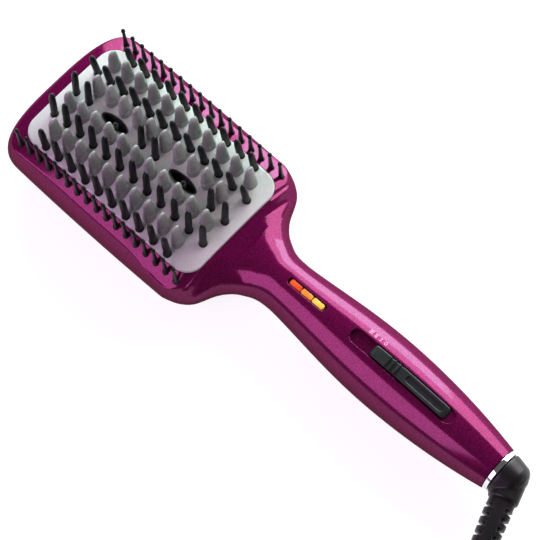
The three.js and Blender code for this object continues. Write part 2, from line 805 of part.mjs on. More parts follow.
function lens(index) {
  const [y, top] = lensPlace(index);
  const shape = roundedRectangle(lensWidth / 2, lensLength / 2, 0.8);
  return prism(shape, top - lensThickness, top, 3).translate([0, y, 0]);
}

function ledBoard() {
  const lowest = Math.min(...[0, 1, 2].map((i) => lensPlace(i)[1]));
  const top = lowest - lensThickness - ledGap - ledHeight;
  const plate = box([-4, windowY - 13, top - 1.2], [4, windowY + 13, top]);
  const leds = [-1, 0, 1].map((i) => {
    const y = windowY + i * (lensLength + clearance);
    return box([-1.2, y - 1.4, top - 0.3], [1.2, y + 1.4, top + ledHeight]);
  });
  return join([plate, ...leds]);
}

function knob() {
  // Seen from the side: a low front pad, three grip grooves, then a long saddle
  const front = knobY + knobLength / 2;
  const rear = knobY - knobLength / 2;
  const shape = new THREE.Shape();
  const low = recessFloorZ + clearance;
  shape.moveTo(rear, low);
  shape.lineTo(front, low);
  shape.lineTo(front, knobTopZ - 1.6);
  shape.quadraticCurveTo(front - 0.3, knobTopZ - 0.6, front - 2, knobTopZ - 0.4);
  shape.lineTo(front - 8.6, knobTopZ);
  for (let i = 0; i < 3; i++) {
    const y = front - 9.2 - i * 2.6;
    shape.lineTo(y, knobTopZ);
    shape.lineTo(y - 0.8, knobTopZ - 0.9);
    shape.lineTo(y - 1.6, knobTopZ);
  }
  shape.lineTo(front - 19, knobTopZ - 0.2);
  shape.lineTo(rear + 2, knobTopZ - 1.2);
  shape.quadraticCurveTo(rear + 0.3, knobTopZ - 1.4, rear, knobTopZ - 2.4);
  shape.closePath();
  const side = solidOf(
    new THREE.ExtrudeGeometry(shape, { depth: knobWidth, bevelEnabled: false, curveSegments: 3 })
      .translate(0, 0, -knobWidth / 2)
      .applyMatrix4(new THREE.Matrix4().makeBasis(
        new THREE.Vector3(0, 1, 0), new THREE.Vector3(0, 0, 1), new THREE.Vector3(1, 0, 0),
      )),
  );
  const plan = slotPrism(knobLength, knobWidth, knobY, recessFloorZ - 1, knobTopZ + 2);
  const rounded = side.intersect(plan.add(box(
    [-knobWidth, knobY - knobLength / 2 + 2, recessFloorZ - 1],
    [knobWidth, knobY + knobLength / 2 - 2, knobTopZ + 2],
  )));
  const channel = box([-1.5, rear + 3, knobTopZ - 1.7], [1.5, front - 19.5, knobTopZ + 1]);
  const stem = box(
    [-knobStem[0] / 2, knobStemY - knobStem[1] / 2, carriageTop() - 1],
    [knobStem[0] / 2, knobStemY + knobStem[1] / 2, low + 0.5],
  );
  return rounded.subtract(channel).add(stem);
}

function carriageTop() {
  return recessFloorZ - recessFloorThickness - clearance;
}

function carriage() {
  const plate = box([-3, knobStemY - 6, carriageTop() - 1.4], [3, knobStemY + 6, carriageTop()]);
  const lever = box([-1, knobStemY - 1.5, carriageTop() - 4], [1, knobStemY + 1.5, carriageTop() - 1]);
  const socket = box(
    [-knobStem[0] / 2 - clearance, knobStemY - knobStem[1] / 2 - clearance, carriageTop() - 1 - clearance],
    [knobStem[0] / 2 + clearance, knobStemY + knobStem[1] / 2 + clearance, carriageTop() + 1],
  );
  return plate.subtract(socket).add(lever);
}

function slideSwitch() {
  const top = carriageTop() - 1.4 - clearance;
  const body = box([-4, knobStemY - 9, boardTopZ + clearance], [4, knobStemY + 9 + knobTravel, top]);
  const slot = box(
    [-1 - clearance, knobStemY - 1.5 - 2 * clearance, top - 3.2],
    [1 + clearance, knobStemY + 1.5 + knobTravel + 2 * clearance, top + 1],
  );
  return body.subtract(slot);
}

function controlBoard() {
  const [low, high] = [boardNearY, boardFarY];
  const plate = box([-7, low, boardTopZ - boardThickness], [7, high, boardTopZ]);
  const chip = box([-3, low + 8, boardTopZ - 0.4], [3, low + 15, boardTopZ + 1.6]);
  const capacitor = post(3.2, 0, low + 19.5, boardTopZ - 0.4, boardTopZ + 6, 8);
  const feet = [low + 3, high - 3].flatMap((y) =>
    [-4.5, 4.5].map((x) => box([x - 1, y - 1, bodyBottom(5.5, y, wall) + 2 * clearance], [x + 1, y + 1, boardTopZ - 1])),
  );
  return join([plate, chip, capacitor, ...feet]);
}

// Cord swivel: everything here is turned about the handle's axis or about the direction of the cord
const bend = new THREE.Vector3(0, swivelBendY, axisZ);
const outward = new THREE.Vector3(
  -Math.sin(THREE.MathUtils.degToRad(cordAngle)),
  -Math.cos(THREE.MathUtils.degToRad(cordAngle)),
  0,
);

function aboutHandleAxis(profile, sides) {
  // Heights in the profile are Y
  return solidOf(lathe(profile, sides).rotateX(-Math.PI / 2).translate(0, 0, axisZ));
}

function aboutCord(profile, sides) {
  // Heights in the profile are distances from the bend along the cord
  const turn = new THREE.Quaternion().setFromUnitVectors(new THREE.Vector3(0, 0, 1), outward);
  return solidOf(lathe(profile, sides).applyQuaternion(turn).translate(bend.x, bend.y, bend.z));
}

const trimNearY = endY - clearance;
const trimFarY = trimNearY - trimLength;
const sleeveY = trimFarY - clearance;
const clipY = endY + 13;

function endCollar() {
  const [inner, outer] = [spigotRadius + clearance, endRadius - wall - 0.2 - clearance];
  return aboutHandleAxis(
    [[inner, endY], [outer, endY], [outer, endY + 7], [outer - 0.6, clipY - 1.5 - clearance], [inner, clipY - 1.5 - clearance], [inner, endY]],
    20,
  );
}

function trimRing() {
  const [inner, outer] = [spigotRadius + clearance, endRadius - 0.3];
  return aboutHandleAxis(
    [[inner, trimFarY], [outer - 0.3, trimFarY], [outer, trimFarY + 0.4], [outer, trimNearY], [inner, trimNearY], [inner, trimFarY]],
    24,
  );
}

function swivel() {
  const sleeve = aboutHandleAxis(
    [
      [0, swivelBendY - 6.8], [3.6, swivelBendY - 6.4], [7, swivelBendY - 4.6], [8.7, swivelBendY - 2.2],
      [endRadius - 0.8, sleeveY - 1.6], [endRadius - 0.6, sleeveY], [0, sleeveY],
    ],
    20,
  );
  const spigot = aboutHandleAxis(
    [
      [0, sleeveY - 1], [spigotRadius, sleeveY - 1], [spigotRadius, clipY - 0.8], [spigotRadius - 1, clipY - 0.8],
      [spigotRadius - 1, clipY + 0.8], [spigotRadius, clipY + 0.8], [spigotRadius - 0.5, clipY + 3], [0, clipY + 3],
    ],
    16,
  );
  const arm = aboutCord(
    [
      [0, -8.6], [3.4, -8.4], [5.6, -7.2], [swivelRadius, -5], [swivelRadius, mouthReach - 1],
      [swivelRadius - 0.4, mouthReach], [0, mouthReach],
    ],
    18,
  );
  const behind = box([-far, -far, -far], [far, sleeveY, far]);
  const socket = reliefRadius + clearance;
  const mouth = aboutCord([[0, mouthReach - 6], [socket, mouthReach - 6], [socket, mouthReach + 1], [0, mouthReach + 1]], 12);
  const bore = aboutHandleAxis([[0, sleeveY - 1], [leadBore, sleeveY - 1], [leadBore, clipY + 4], [0, clipY + 4]], 10);
  return cut(join([sleeve, spigot, arm.intersect(behind)]), [mouth, bore]);
}

function swivelClip() {
  const [inner, outer] = [spigotRadius - 1 + clearance, spigotRadius + 1.8];
  const half = 0.8 - clearance;
  const ring = aboutHandleAxis(
    [[inner, clipY - half], [outer, clipY - half], [outer, clipY + half], [inner, clipY + half], [inner, clipY - half]],
    16,
  );
  return ring.subtract(box([-2, clipY - 2, axisZ - outer - 1], [2, clipY + 2, axisZ]));
}

function strainRelief() {
  const root = mouthReach - 6 + clearance;
  const profile = [[0, root], [reliefRadius, root], [reliefRadius, mouthReach + 2.5]];
  const ribs = 7;
  const first = mouthReach + 2.5;
  const pitch = (reliefReach - 8 - first) / ribs;
  for (let i = 0; i < ribs; i++) {
    const z = first + i * pitch;
    const rib = mix(reliefRadius, reliefTipRadius + 0.3, (i + 0.5) / ribs);
    profile.push([rib - 1, z + 0.2], [rib - 1, z + 0.4 * pitch], [rib, z + 0.5 * pitch], [rib, z + pitch]);
  }
  profile.push([reliefTipRadius, reliefReach], [0, reliefReach]);
  return aboutCord(profile, 10);
}

// Mains lead. The run leaves the relief and comes down to the floor; the coil follows from its radii.
const exit = bend.clone().addScaledVector(outward, reliefReach + clearance / 2);
const cordFloor = cordRadius + coilLift;
const endSteps = 12;

const runTurn = runLength / runRadius;
const aside = new THREE.Vector3(-outward.y, outward.x, 0);

function runDirection(turn) {
  return outward.clone().multiplyScalar(Math.cos(turn)).addScaledVector(aside, Math.sin(turn));
}

function runPlace(turn) {
  // The run bends past the end of the handle on a wide arc
  return exit.clone()
    .addScaledVector(outward, runRadius * Math.sin(turn))
    .addScaledVector(aside, runRadius * (1 - Math.cos(turn)));
}

function runPoints() {
  return range(0, endSteps).map((i) => {
    const s = (runLength * i) / endSteps;
    const fall = smooth((s - 2) / (runLength - 14));
    return runPlace(s / runRadius).setZ(mix(axisZ, cordFloor, fall));
  });
}

const turnPitch = 2 * cordRadius + cordGap;
const coilOuterRadius = coilInnerRadius + turnPitch * turnsPerLayer;
const coilStart = runPlace(runTurn).setZ(0);
const coilSide = new THREE.Vector3(0, 0, 1).cross(runDirection(runTurn));
const coilCentre = coilStart.clone().addScaledVector(coilSide, coilOuterRadius);
const startTurn = Math.atan2(coilStart.y - coilCentre.y, coilStart.x - coilCentre.x);
const coilTurns = coilLayers * turnsPerLayer;

function coilPoint(turns) {
  // The spiral runs in and out again; each climb takes the half turn about a reversal
  const layer = Math.min(coilLayers - 1, Math.floor(turns / turnsPerLayer));
  const travel = turnPitch * (turns - layer * turnsPerLayer);
  const radius = layer % 2 === 0 ? coilOuterRadius - travel : coilInnerRadius + travel;
  let climbed = 0;
  for (let i = 1; i < coilLayers; i++) climbed += smooth((turns - i * turnsPerLayer) / 0.5 + 0.5);
  const angle = startTurn + 2 * Math.PI * turns;
  return new THREE.Vector3(
    coilCentre.x + radius * Math.cos(angle),
    coilCentre.y + radius * Math.sin(angle),
    cordFloor + climbed * turnPitch,
  );
}

const coilSteps = Math.round(coilTurns * loopSteps);

function coilPoints() {
  return range(0, coilSteps).map((i) => coilPoint((coilTurns * i) / coilSteps));
}

const plugHalfHeight = 7;
const plugLength = 36;
const plugReach = 55;
const tailStart = coilPoint(coilTurns);
const tailTurn = startTurn + 2 * Math.PI * coilTurns;
const tailOut = new THREE.Vector3(-Math.sin(tailTurn), Math.cos(tailTurn), 0);

function tailPoints() {
  return range(0, endSteps).map((i) => {
    const s = (tailLength * i) / endSteps;
    const fall = smooth((s - 2) / (tailLength - 4));
    return tailStart.clone().addScaledVector(tailOut, s).setZ(mix(tailStart.z, plugHalfHeight, fall));
  });
}

const cordPath = [...runPoints(), ...coilPoints().slice(1), ...tailPoints().slice(1)];

function cordPiece(first, last, sides) {
  // Neighbouring pieces meet face to face with the seat clearance between them
  const along = (i) => cordPath[Math.min(i + 1, cordPath.length - 1)].clone()
    .sub(cordPath[Math.max(i - 1, 0)])
    .normalize();
  const points = cordPath.slice(first, last + 1).map((p) => p.clone());
  points[0].addScaledVector(along(first), clearance / 2);
  points[points.length - 1].addScaledVector(along(last), -clearance / 2);
  return tube(points, points.map((_, i) => along(first + i)), cordRadius, sides);
}

function leastSelfGap(points) {
  let least = Infinity;
  const apart = Math.round(loopSteps / 3);
  for (let i = 0; i < points.length; i++) {
    for (let j = i + apart; j < points.length; j++) {
      least = Math.min(least, points[i].distanceTo(points[j]));
    }
  }
  return least - 2 * cordRadius;
}

function pathLength(points) {
  return points.slice(1).reduce((sum, p, i) => sum + p.distanceTo(points[i]), 0);
}

function tie() {
  const angle = startTurn - Math.PI * 0.6;
  const low = coilInnerRadius - cordRadius - clearance;
  const high = coilOuterRadius + cordRadius + clearance;
  const top = cordFloor + (coilLayers - 1) * turnPitch + cordRadius + clearance;
  const middle = new THREE.Vector3((low + high) / 2, 0, (top + coilLift - clearance) / 2);
  const band = (grow) => {
    const shape = roundedRectangle((high - low) / 2 + grow, (top - coilLift + clearance) / 2 + grow, 2 + grow);
    return solidOf(
      new THREE.ExtrudeGeometry(shape, { depth: 10, bevelEnabled: false, curveSegments: 3 })
        .translate(0, 0, -5)
        .rotateX(Math.PI / 2)
        .translate(middle.x, middle.y, middle.z),
    );
  };
  return band(0.9).subtract(band(0).scale([1, 2, 1]))
    .rotate([0, 0, THREE.MathUtils.radToDeg(angle)])
    .translate([coilCentre.x, coilCentre.y, 0]);
}

// Flat two-pin plug, lying on its broad side
const plugFrame = new THREE.Matrix4().makeBasis(
  tailOut,
  new THREE.Vector3(0, 0, 1).cross(tailOut),
  new THREE.Vector3(0, 0, 1),
).setPosition(tailStart.clone().addScaledVector(tailOut, tailLength + clearance).setZ(plugHalfHeight));

function plugBody() {
  const rings = [
    [0, 4, 4], [9, 5, 4.6], [14, 9, 5.6], [20, 14, 6.6], [plugLength - 3, 17.5, 6.8], [plugLength, 17.5, 6.8],
  ].map(([s, halfY, halfZ]) =>
    Array.from({ length: 16 }, (_, j) => {
      const turn = (2 * Math.PI * j) / 16;
      const round = (v) => Math.sign(v) * Math.abs(v) ** 0.7;
      return new THREE.Vector3(s, halfY * round(Math.cos(turn)), halfZ * round(Math.sin(turn))).applyMatrix4(plugFrame);
    }),
  );
  return solidOf(loft(rings));
}

function plugPin(side) {
  const root = plugLength + clearance;
  const profile = [[0, root], [2, root], [2, plugReach - 1.4], [1.3, plugReach], [0, plugReach]];
  const shape = lathe(profile, 12).rotateY(Math.PI / 2).translate(0, side * 9.3, 0);
  return solidOf(shape.applyMatrix4(plugFrame));
}

// Inner leads
function lead(points) {
  const curve = new THREE.CatmullRomCurve3(points.map((p) => new THREE.Vector3(...p)));
  const steps = (points.length - 1) * 3;
  const directions = range(0, steps).map((i) => curve.getTangent(i / steps));
  return tube(curve.getPoints(steps), directions, leadRadius, 6);
}

function mainsLead(side) {
  const z = boardTopZ - 1;
  return lead([
    [side * 1.3, sleeveY - 0.5, axisZ],
    [side * 1.3, clipY + 1.5, axisZ],
    [side * 2.2, clipY + 3.4, axisZ - 0.3],
    [side * 5, clipY + 5.2, axisZ - 1.6],
    [side * 5.6, boardNearY - 4.5, z - 0.8],
    [side * 5.6, boardNearY - clearance, z - 0.2],
  ]);
}

function heaterLead(side) {
  return lead([
    [side * 3, boardFarY + clearance, boardTopZ - 0.9],
    [side * 5.6, boardFarY + 6, 16],
    [side * 5, neckY, 14],
    [side * heaterX, -plateHalfLength - 2.8, axisZ - 2],
    [side * heaterX, heaterLeadY, trayFloorZ - 1],
    [side * heaterX, heaterLeadY, trayFloorZ + trayThickness + 3],
    [side * heaterX, -heaterSize[1] / 2 - 3, heaterZ + 1.6],
    [side * heaterX, -heaterSize[1] / 2 - clearance, heaterZ + 1.8],
  ]);
}

function emitterLead(row) {
  const y = rowY(row);
  const start = y > 0 ? generatorFarY + clearance : generatorNearY - clearance;
  const top = domeZ(0, Math.abs(y) + outletLength / 2) + 0.2 - outletDepth - clearance;
  return lead([
    [0, start, 12], [0, mix(start, y, 0.5), 12.4], [0, y, 16.5], [0, y, trayFloorZ + 2], [0, y, top],
  ]);
}

place("front_housing", frontHousing(), berry);
place("rear_cover", rearCover(), berry);
place("heating_plate", heatingPlate(), plateGrey);
for (const comb of combs) place(comb.name, pinComb(comb), nylon);
place("side_pins_left", sideStrip(-1), nylon);
place("side_pins_right", sideStrip(1), nylon);
place("ion_outlet_far", ionOutlet(outletRows[0]), black);
place("ion_outlet_near", ionOutlet(outletRows[1]), black);
place("ion_emitter_far", emitter(outletRows[0]), brass);
place("ion_emitter_near", emitter(outletRows[1]), brass);
place("heater_tray", heaterTray(), black);
for (const [side, word] of [[-1, "left"], [1, "right"]]) {
  const [w, l, h] = heaterSize;
  const x = side * heaterX;
  place("ptc_heater_" + word, box([x - w / 2, -l / 2, heaterZ], [x + w / 2, l / 2, heaterZ + h]), ceramic);
  const top = heaterZ - clearance;
  place("heater_clamp_" + word, box([x - w / 2 - 1, -l / 2 - 3, top - clampThickness], [x + w / 2 + 1, l / 2 + 3, top]), steel);
}
plateBosses().forEach(([x, y], i) => {
  const headZ = trayFloorZ - clearance - screwHeadHeight;
  place("tray_screw_" + (i + 1), screw(x, y, headZ, 9), steel);
});
place(
  "ion_generator",
  box(
    [-generatorHalfWidth, generatorNearY, wall + clearance],
    [generatorHalfWidth, generatorFarY, trayFloorZ - clearance],
  ),
  black,
);
place("thermal_fuse", sensor(-1, sensorRadius, sensorY), steel);
place("temperature_sensor", sensor(1, sensorRadius, sensorY - 0.8), ceramic);
outletRows.forEach((row, i) => {
  place("emitter_lead_" + ["far", "near"][i], emitterLead(row), redWire);
});
place("heater_lead_left", heaterLead(-1), redWire);
place("heater_lead_right", heaterLead(1), redWire);
place("mains_lead_left", mainsLead(-1), blueWire);
place("mains_lead_right", mainsLead(1), blueWire);
place("led_board", ledBoard(), board);
place("indicator_lens_red", lens(0), red);
place("indicator_lens_orange", lens(1), orange);
place("indicator_lens_yellow", lens(2), yellow);
place("slider_knob", knob(), black);
place("switch_carriage", carriage(), nylon);
place("slide_switch", slideSwitch(), black);
place("control_board", controlBoard(), board);
bodyScrews.forEach(([x, y], i) => {
  place("body_screw_" + (i + 1), screw(x, y, screwWellZ - screwHeadHeight - clearance, bodyScrewLength), steel);
});
place("end_collar", endCollar(), black);
place("trim_ring", trimRing(), chrome);
place("cord_swivel", swivel(), black);
place("swivel_clip", swivelClip(), steel);
place("strain_relief", strainRelief(), black);
place("cord_run", cordPiece(0, endSteps, 8), cable);
place("cord_coil", cordPiece(endSteps, endSteps + coilSteps, 6), cable);
place("cord_tail", cordPiece(endSteps + coilSteps, cordPath.length - 1, 8), cable);
place("cord_tie", tie(), black);
place("plug_body", plugBody(), black);
place("plug_pin_1", plugPin(-1), brass);
place("plug_pin_2", plugPin(1), brass);

console.log("cord length", pathLength(cordPath).toFixed(0), "mm");
console.log("least gap between the cord's loops", leastSelfGap(coilPoints()).toFixed(2), "mm");

export default brush;
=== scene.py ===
import math

import bpy
import numpy as np
from mathutils import Matrix, Vector


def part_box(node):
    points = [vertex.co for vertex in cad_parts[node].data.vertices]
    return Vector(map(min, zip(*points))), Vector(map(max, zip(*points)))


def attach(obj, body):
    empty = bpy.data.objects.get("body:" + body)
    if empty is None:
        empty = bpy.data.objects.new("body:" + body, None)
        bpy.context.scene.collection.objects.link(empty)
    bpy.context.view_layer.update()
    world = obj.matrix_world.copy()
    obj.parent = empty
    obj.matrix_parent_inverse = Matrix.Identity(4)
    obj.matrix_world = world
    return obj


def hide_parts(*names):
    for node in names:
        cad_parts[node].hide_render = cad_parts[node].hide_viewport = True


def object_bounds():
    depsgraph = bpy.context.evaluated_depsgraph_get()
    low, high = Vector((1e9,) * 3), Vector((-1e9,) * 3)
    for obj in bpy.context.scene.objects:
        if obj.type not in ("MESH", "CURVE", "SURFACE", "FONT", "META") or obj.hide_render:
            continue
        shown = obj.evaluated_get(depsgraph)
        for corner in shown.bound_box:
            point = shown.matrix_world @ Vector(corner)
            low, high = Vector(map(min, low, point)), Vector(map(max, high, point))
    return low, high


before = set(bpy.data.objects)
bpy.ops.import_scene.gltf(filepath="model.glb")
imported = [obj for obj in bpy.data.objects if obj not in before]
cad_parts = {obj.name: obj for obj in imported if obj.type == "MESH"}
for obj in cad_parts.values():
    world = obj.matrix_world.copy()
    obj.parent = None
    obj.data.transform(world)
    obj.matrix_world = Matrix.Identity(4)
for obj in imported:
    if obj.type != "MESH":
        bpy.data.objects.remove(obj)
cad_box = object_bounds()

MM = 0.001
TINY = 1e-6
UP = np.array([0, 0, 1.0])

# Camera
CAMERA_PLACE = (-0.2077, -0.3172, 0.845)
CAMERA_RIGHT = (0.686, -0.7264, -0.0419)
CAMERA_UP = (0.6887, 0.6297, 0.3594)
CAMERA_LENS = 133.33
CAMERA_SENSOR = 36
CAMERA_SHIFT = -1.0 / 540
CAMERA_REACH = 20

# Body outline in plan
HEAD_HALF = 41.6
HEAD_FAR = 63.4
HEAD_CORNER = 45.0
SHOULDER = -45.0
SIDE_BOW = 0.6
NECK = -85.0
NECK_HALF = 12.9
GRIP = -142.0
GRIP_HALF = 17.0
END = -206.5
END_RADIUS = 10.6
FAR_TIP_HALF = 0.02

# Body heights
AXIS_Z = 16.5
WALL_REACH = 25.0
WALL_ROUNDING = 40.0
WALL_START = 0.74
RIM_BLEND = 0.5
NECK_TOP = 12.6
GRIP_TOP = 15.7
END_TOP = END_RADIUS - 0.2
NECK_BELLY = 13.2
BELLY_CLEARANCE = 0.2
LAND_MARGIN = 16.0
SHELL = 2.0
PARTING = 0.3
LIP = 0.35
SCREW_WELL_Z = 8.5
SCREW_WELL_RADIUS = 2.7
SCREW_BOSS_RADIUS = 3.6
SCREW_BOSS_SINK = 0.6
SCREW_SHAFT_RADIUS = 1.5
BODY_SCREWS = [(-24, 56.5), (24, 56.5), (-11, -68), (11, -68), (0, -115.5), (0, -185)]

# Domed face
CROWN_Z = 37.0
CROWN_RISE = 9.07
CROWN_HALF_WIDTH = 38.3
CROWN_HALF_LENGTH = 61.2
CORNER_FALL = 0.16
SIDE_FALL = 0.32
NECK_LIFT = 0.8
PLATE_HALF_WIDTH = 30.4
PLATE_HALF_LENGTH = 53.2
PLATE_CORNER = 9.0
PLATE_EDGE = 0.8
PLATE_THICKNESS = 2.4
PLATE_GAP = 0.3
BAND_DROP = 0.5
ROW_PITCH = 8.5
COLUMN_PITCH = 13.9
LAST_ROW = 11

# Bristles
PIN_HEIGHT = 17.8
PIN_RADIUS = 1.68
PIN_LEAN = {-2: 0.0, -1: 1.5, 0: 2.0, 1: -1.2, 2: -1.2}
COLLAR_RADIUS = 1.85
COMB_HALF = 1.5
COMB_HEIGHT = 2.0
COMB_OVERHANG = 2.6
TOOTH_HEIGHT = 15.6
TOOTH_ACROSS = 3.2
TOOTH_ALONG = 2.5
TOOTH_FOOT = 4.6
TOOTH_FOOT_DIP = 0.7
RIDGE_ACROSS = 2.3
RIDGE_ALONG = 1.1
RIDGE_SLANT = 1.1
RIDGE_ROUND = 1.3
SIDE_PIN_X = 33.7
SIDE_PIN_PITCH = 6.1
SIDE_PIN_COUNT = 17
SIDE_PIN_HEIGHT = 15.0
SIDE_STRIP_Z = 22.9
SIDE_STRIP_HEIGHT = 1.5
SIDE_STRIP_OVERHANG = 1.7
OUTLET_ROWS = (3, 8)
OUTLET_HALF_LENGTH = 7.75
OUTLET_HALF_WIDTH = 2.6
OUTLET_LIP = 0.25
OUTLET_DEPTH = 5.2

# Window, switch and marks
WINDOW_Y = -96.3
WINDOW_LENGTH = 21.8
WINDOW_WIDTH = 3.8
LENS_WIDTH = 2.65
LENS_CORNER = 0.8
LENS_EDGE = 0.3
RECESS_Y = -151.8
RECESS_LENGTH = 58.6
RECESS_WIDTH = 7.0
RECESS_FLOOR = 29.0
RECESS_FLOOR_THICKNESS = 1.6
STEM_SLOT_Y = -144.25
STEM_SLOT_HALF_LENGTH = 7.45
STEM_SLOT_HALF_WIDTH = 1.5
STEM_Y = -148
STEM_HALF_LENGTH = 2.5
STEM_HALF_WIDTH = 1.2
STEM_LOW = 27.0
KNOB_Y = -156.0
KNOB_LENGTH = 43.0
KNOB_WIDTH = 5.8
KNOB_TOP = 33.0
KNOB_GAP = 0.3
KNOB_CORNER = 1.7
KNOB_EDGE = 0.7
GROOVE_START = 9.2
GROOVE_PITCH = 2.6
CHANNEL_HALF = 1.55
CHANNEL_CORNER = 1.5
CHANNEL_DEPTH = 0.75
MARK_X = 5.8
MARK_FIRST_Y = -129.0
MARK_PITCH = 2.75
MARK_HALF = 0.95
MARK_STROKE = 0.32
MARK_GAP = 0.62
MARK_LIFT = 0.05
MARK_DEPTH = 0.15

# Cord swivel and mains lead
TRIM_LENGTH = 2.2
TRIM_GAP = 0.3
BEND = np.array([0.0, -214.2, AXIS_Z])
CORD_ANGLE = math.radians(71.3)
OUTWARD = np.array([-math.sin(CORD_ANGLE), -math.cos(CORD_ANGLE), 0.0])
ASIDE = np.array([-OUTWARD[1], OUTWARD[0], 0])
MOUTH = 10.0
ARM_RADIUS = 6.9
RELIEF_REACH = 55.0
RELIEF_RADIUS = 5.9
RELIEF_TIP = 4.6
RELIEF_ROUND = 0.9
RIB_COUNT = 8
RIB_DEPTH = 1.45
RIB_RISE = 0.25
CORD_RADIUS = 3.0
CORD_GAP = 0.15
CORD_STRAIGHT = 2.0
RUN_LENGTH = 58.0
RUN_RADIUS = 100.0
RUN_LANDING = 12.0
TURN_PITCH = 6.5
COIL_INNER = 25.4
COIL_LAYERS = 4
LAYER_TURNS = 2.12
CLIMB_TURNS = 0.5
CORD_FLOOR = 4.3
TAIL_LENGTH = 48.0
PLUG_Z = 7.0
PLUG_GAP = 0.3
CONTACT_OFFSET = 9.3


def mix(a, b, t):
    return a + (b - a) * t


def smooth(t):
    u = np.clip(t, 0.0, 1.0)
    return u * u * (3 - 2 * u)


def eased(value, start, span):
    """Goes smoothly from 0 to 1 while the value passes the span."""
    return smooth((value - start) / span)


def unit(v):
    v = np.asarray(v, float)
    return v / np.maximum(np.linalg.norm(v, axis=-1, keepdims=True), 1e-12)


def full_turn(steps, start=0.0):
    return 2 * np.pi * (np.arange(steps) + start) / steps


def quarter_turn(steps):
    return np.linspace(0, np.pi / 2, steps)


def signed_power(wave, power):
    """A cosine or sine raised to a power with its sign kept: under 1 the round section gets fuller."""
    return np.sign(wave) * np.abs(wave) ** power


def descending(*stations):
    return np.array(sorted(set(np.round(np.concatenate(stations), 4)), reverse=True))


def spline(keys, t):
    """Smooth curve through (place, value) keys."""
    k = np.array(keys, float)
    t = np.asarray(t, float)
    i = np.clip(np.searchsorted(k[:, 0], t, side="left") - 1, 0, len(k) - 2)
    before = np.maximum(np.arange(len(k)) - 1, 0)
    after = np.minimum(np.arange(len(k)) + 1, len(k) - 1)
    slope = (k[after, 1] - k[before, 1]) / (k[after, 0] - k[before, 0])
    span = k[i + 1, 0] - k[i, 0]
    u = (t - k[i, 0]) / span
    ends = k[i, 1] * (1 + 2 * u) * (1 - u) ** 2 + k[i + 1, 1] * u * u * (3 - 2 * u)
    return ends + span * u * (1 - u) * (slope[i] * (1 - u) - slope[i + 1] * u)


def soft_min(a, b, reach):
    h = np.maximum(reach - np.abs(a - b), 0.0) / reach
    return np.minimum(a, b) - h * h * reach / 4


# Body surface. The curves' first numbers are shares of the way from the neck to the shoulder.
SHOULDER_CURVE = [
    (0, 0), (0.125, 0.008), (0.225, 0.036), (0.325, 0.103), (0.425, 0.192), (0.525, 0.345),
    (0.575, 0.47), (0.625, 0.63), (0.675, 0.75), (0.75, 0.848), (0.85, 0.93), (1, 1),
]
NECK_RISE = [
    (0, 0), (0.15, -0.01), (0.3, -0.052), (0.4, -0.048), (0.475, -0.019), (0.55, 0.009),
    (0.625, 0.046), (0.7, 0.093), (0.775, 0.216), (0.86, 0.411), (1, 1),
]
NECK_POWER = [
    (0, 2), (0.15, 1.9), (0.3, 1.966), (0.4, 1.881), (0.475, 1.768), (0.55, 1.683),
    (0.625, 1.533), (0.7, 1.574), (0.775, 1.932), (0.86, 1.885), (1, 2),
]


def head_side(y):
    return HEAD_HALF - SIDE_BOW * (y / HEAD_CORNER) ** 2


def neck_share(y):
    return np.clip((np.asarray(y, float) - NECK) / (SHOULDER - NECK), 0, 1)


def neck_to_grip(y, at_neck, at_grip):
    t = np.clip((NECK - y) / (NECK - GRIP), 0, 1)
    return mix(at_neck, at_grip, np.sin(np.pi / 2 * t) ** 1.3)


def grip_to_end(y, at_grip, at_end):
    return mix(at_grip, at_end, np.clip((GRIP - y) / (GRIP - END), 0, None) ** 2)


def half_width(y):
    y = np.asarray(y, float)
    reach = np.clip((y - HEAD_CORNER) / (HEAD_FAR - HEAD_CORNER), 0, 1)
    far = head_side(HEAD_CORNER) * np.cbrt(1 - reach ** 3)
    shoulder = mix(NECK_HALF, head_side(SHOULDER), spline(SHOULDER_CURVE, neck_share(y)))
    zones = [y > HEAD_CORNER, y > SHOULDER, y > NECK, y > GRIP]
    widths = [far, head_side(y), shoulder, neck_to_grip(y, NECK_HALF, GRIP_HALF)]
    return np.select(zones, widths, grip_to_end(y, GRIP_HALF, END_RADIUS))


def far_stations(steps):
    """Stations of the head's far end, closer together where it turns."""
    return mix(HEAD_CORNER, HEAD_FAR, np.cos(quarter_turn(steps)) ** 0.6)


def outline_points():
    y = np.concatenate([far_stations(48), np.linspace(HEAD_CORNER, END - 20, 260)[1:]])
    return np.stack([half_width(np.maximum(y, END)), y], 1)


OUTLINE = outline_points()


def nearest_edge(x, y, batch=4000):
    """Distance in plan of points inside the body's outline, and the way in from it."""
    x, y = np.broadcast_arrays(np.asarray(x, float), np.asarray(y, float))
    p = np.stack([np.abs(x).ravel(), y.ravel()], 1)
    a = OUTLINE[:-1]
    edge = OUTLINE[1:] - a
    size = (edge ** 2).sum(1)
    way = np.stack([edge[:, 1], -edge[:, 0]], 1) / np.sqrt(size)[:, None]
    least = np.empty(len(p))
    inwards = np.empty((len(p), 2))
    for start in range(0, len(p), batch):
        q = p[start:start + batch, None] - a
        t = np.clip((q * edge).sum(2) / size, 0, 1)
        away = ((q - t[..., None] * edge) ** 2).sum(2)
        nearest = away.argmin(1)
        rows = np.arange(len(q))
        side = np.sign((q[rows, nearest] * way[nearest]).sum(1))
        least[start:start + batch] = side * np.sqrt(away[rows, nearest])
        inwards[start:start + batch] = way[nearest]
    inwards[:, 0] *= np.where(x.ravel() < 0, -1, 1)
    return least.reshape(x.shape), inwards.reshape(x.shape + (2,))


def inset(x, y):
    return nearest_edge(x, y)[0]


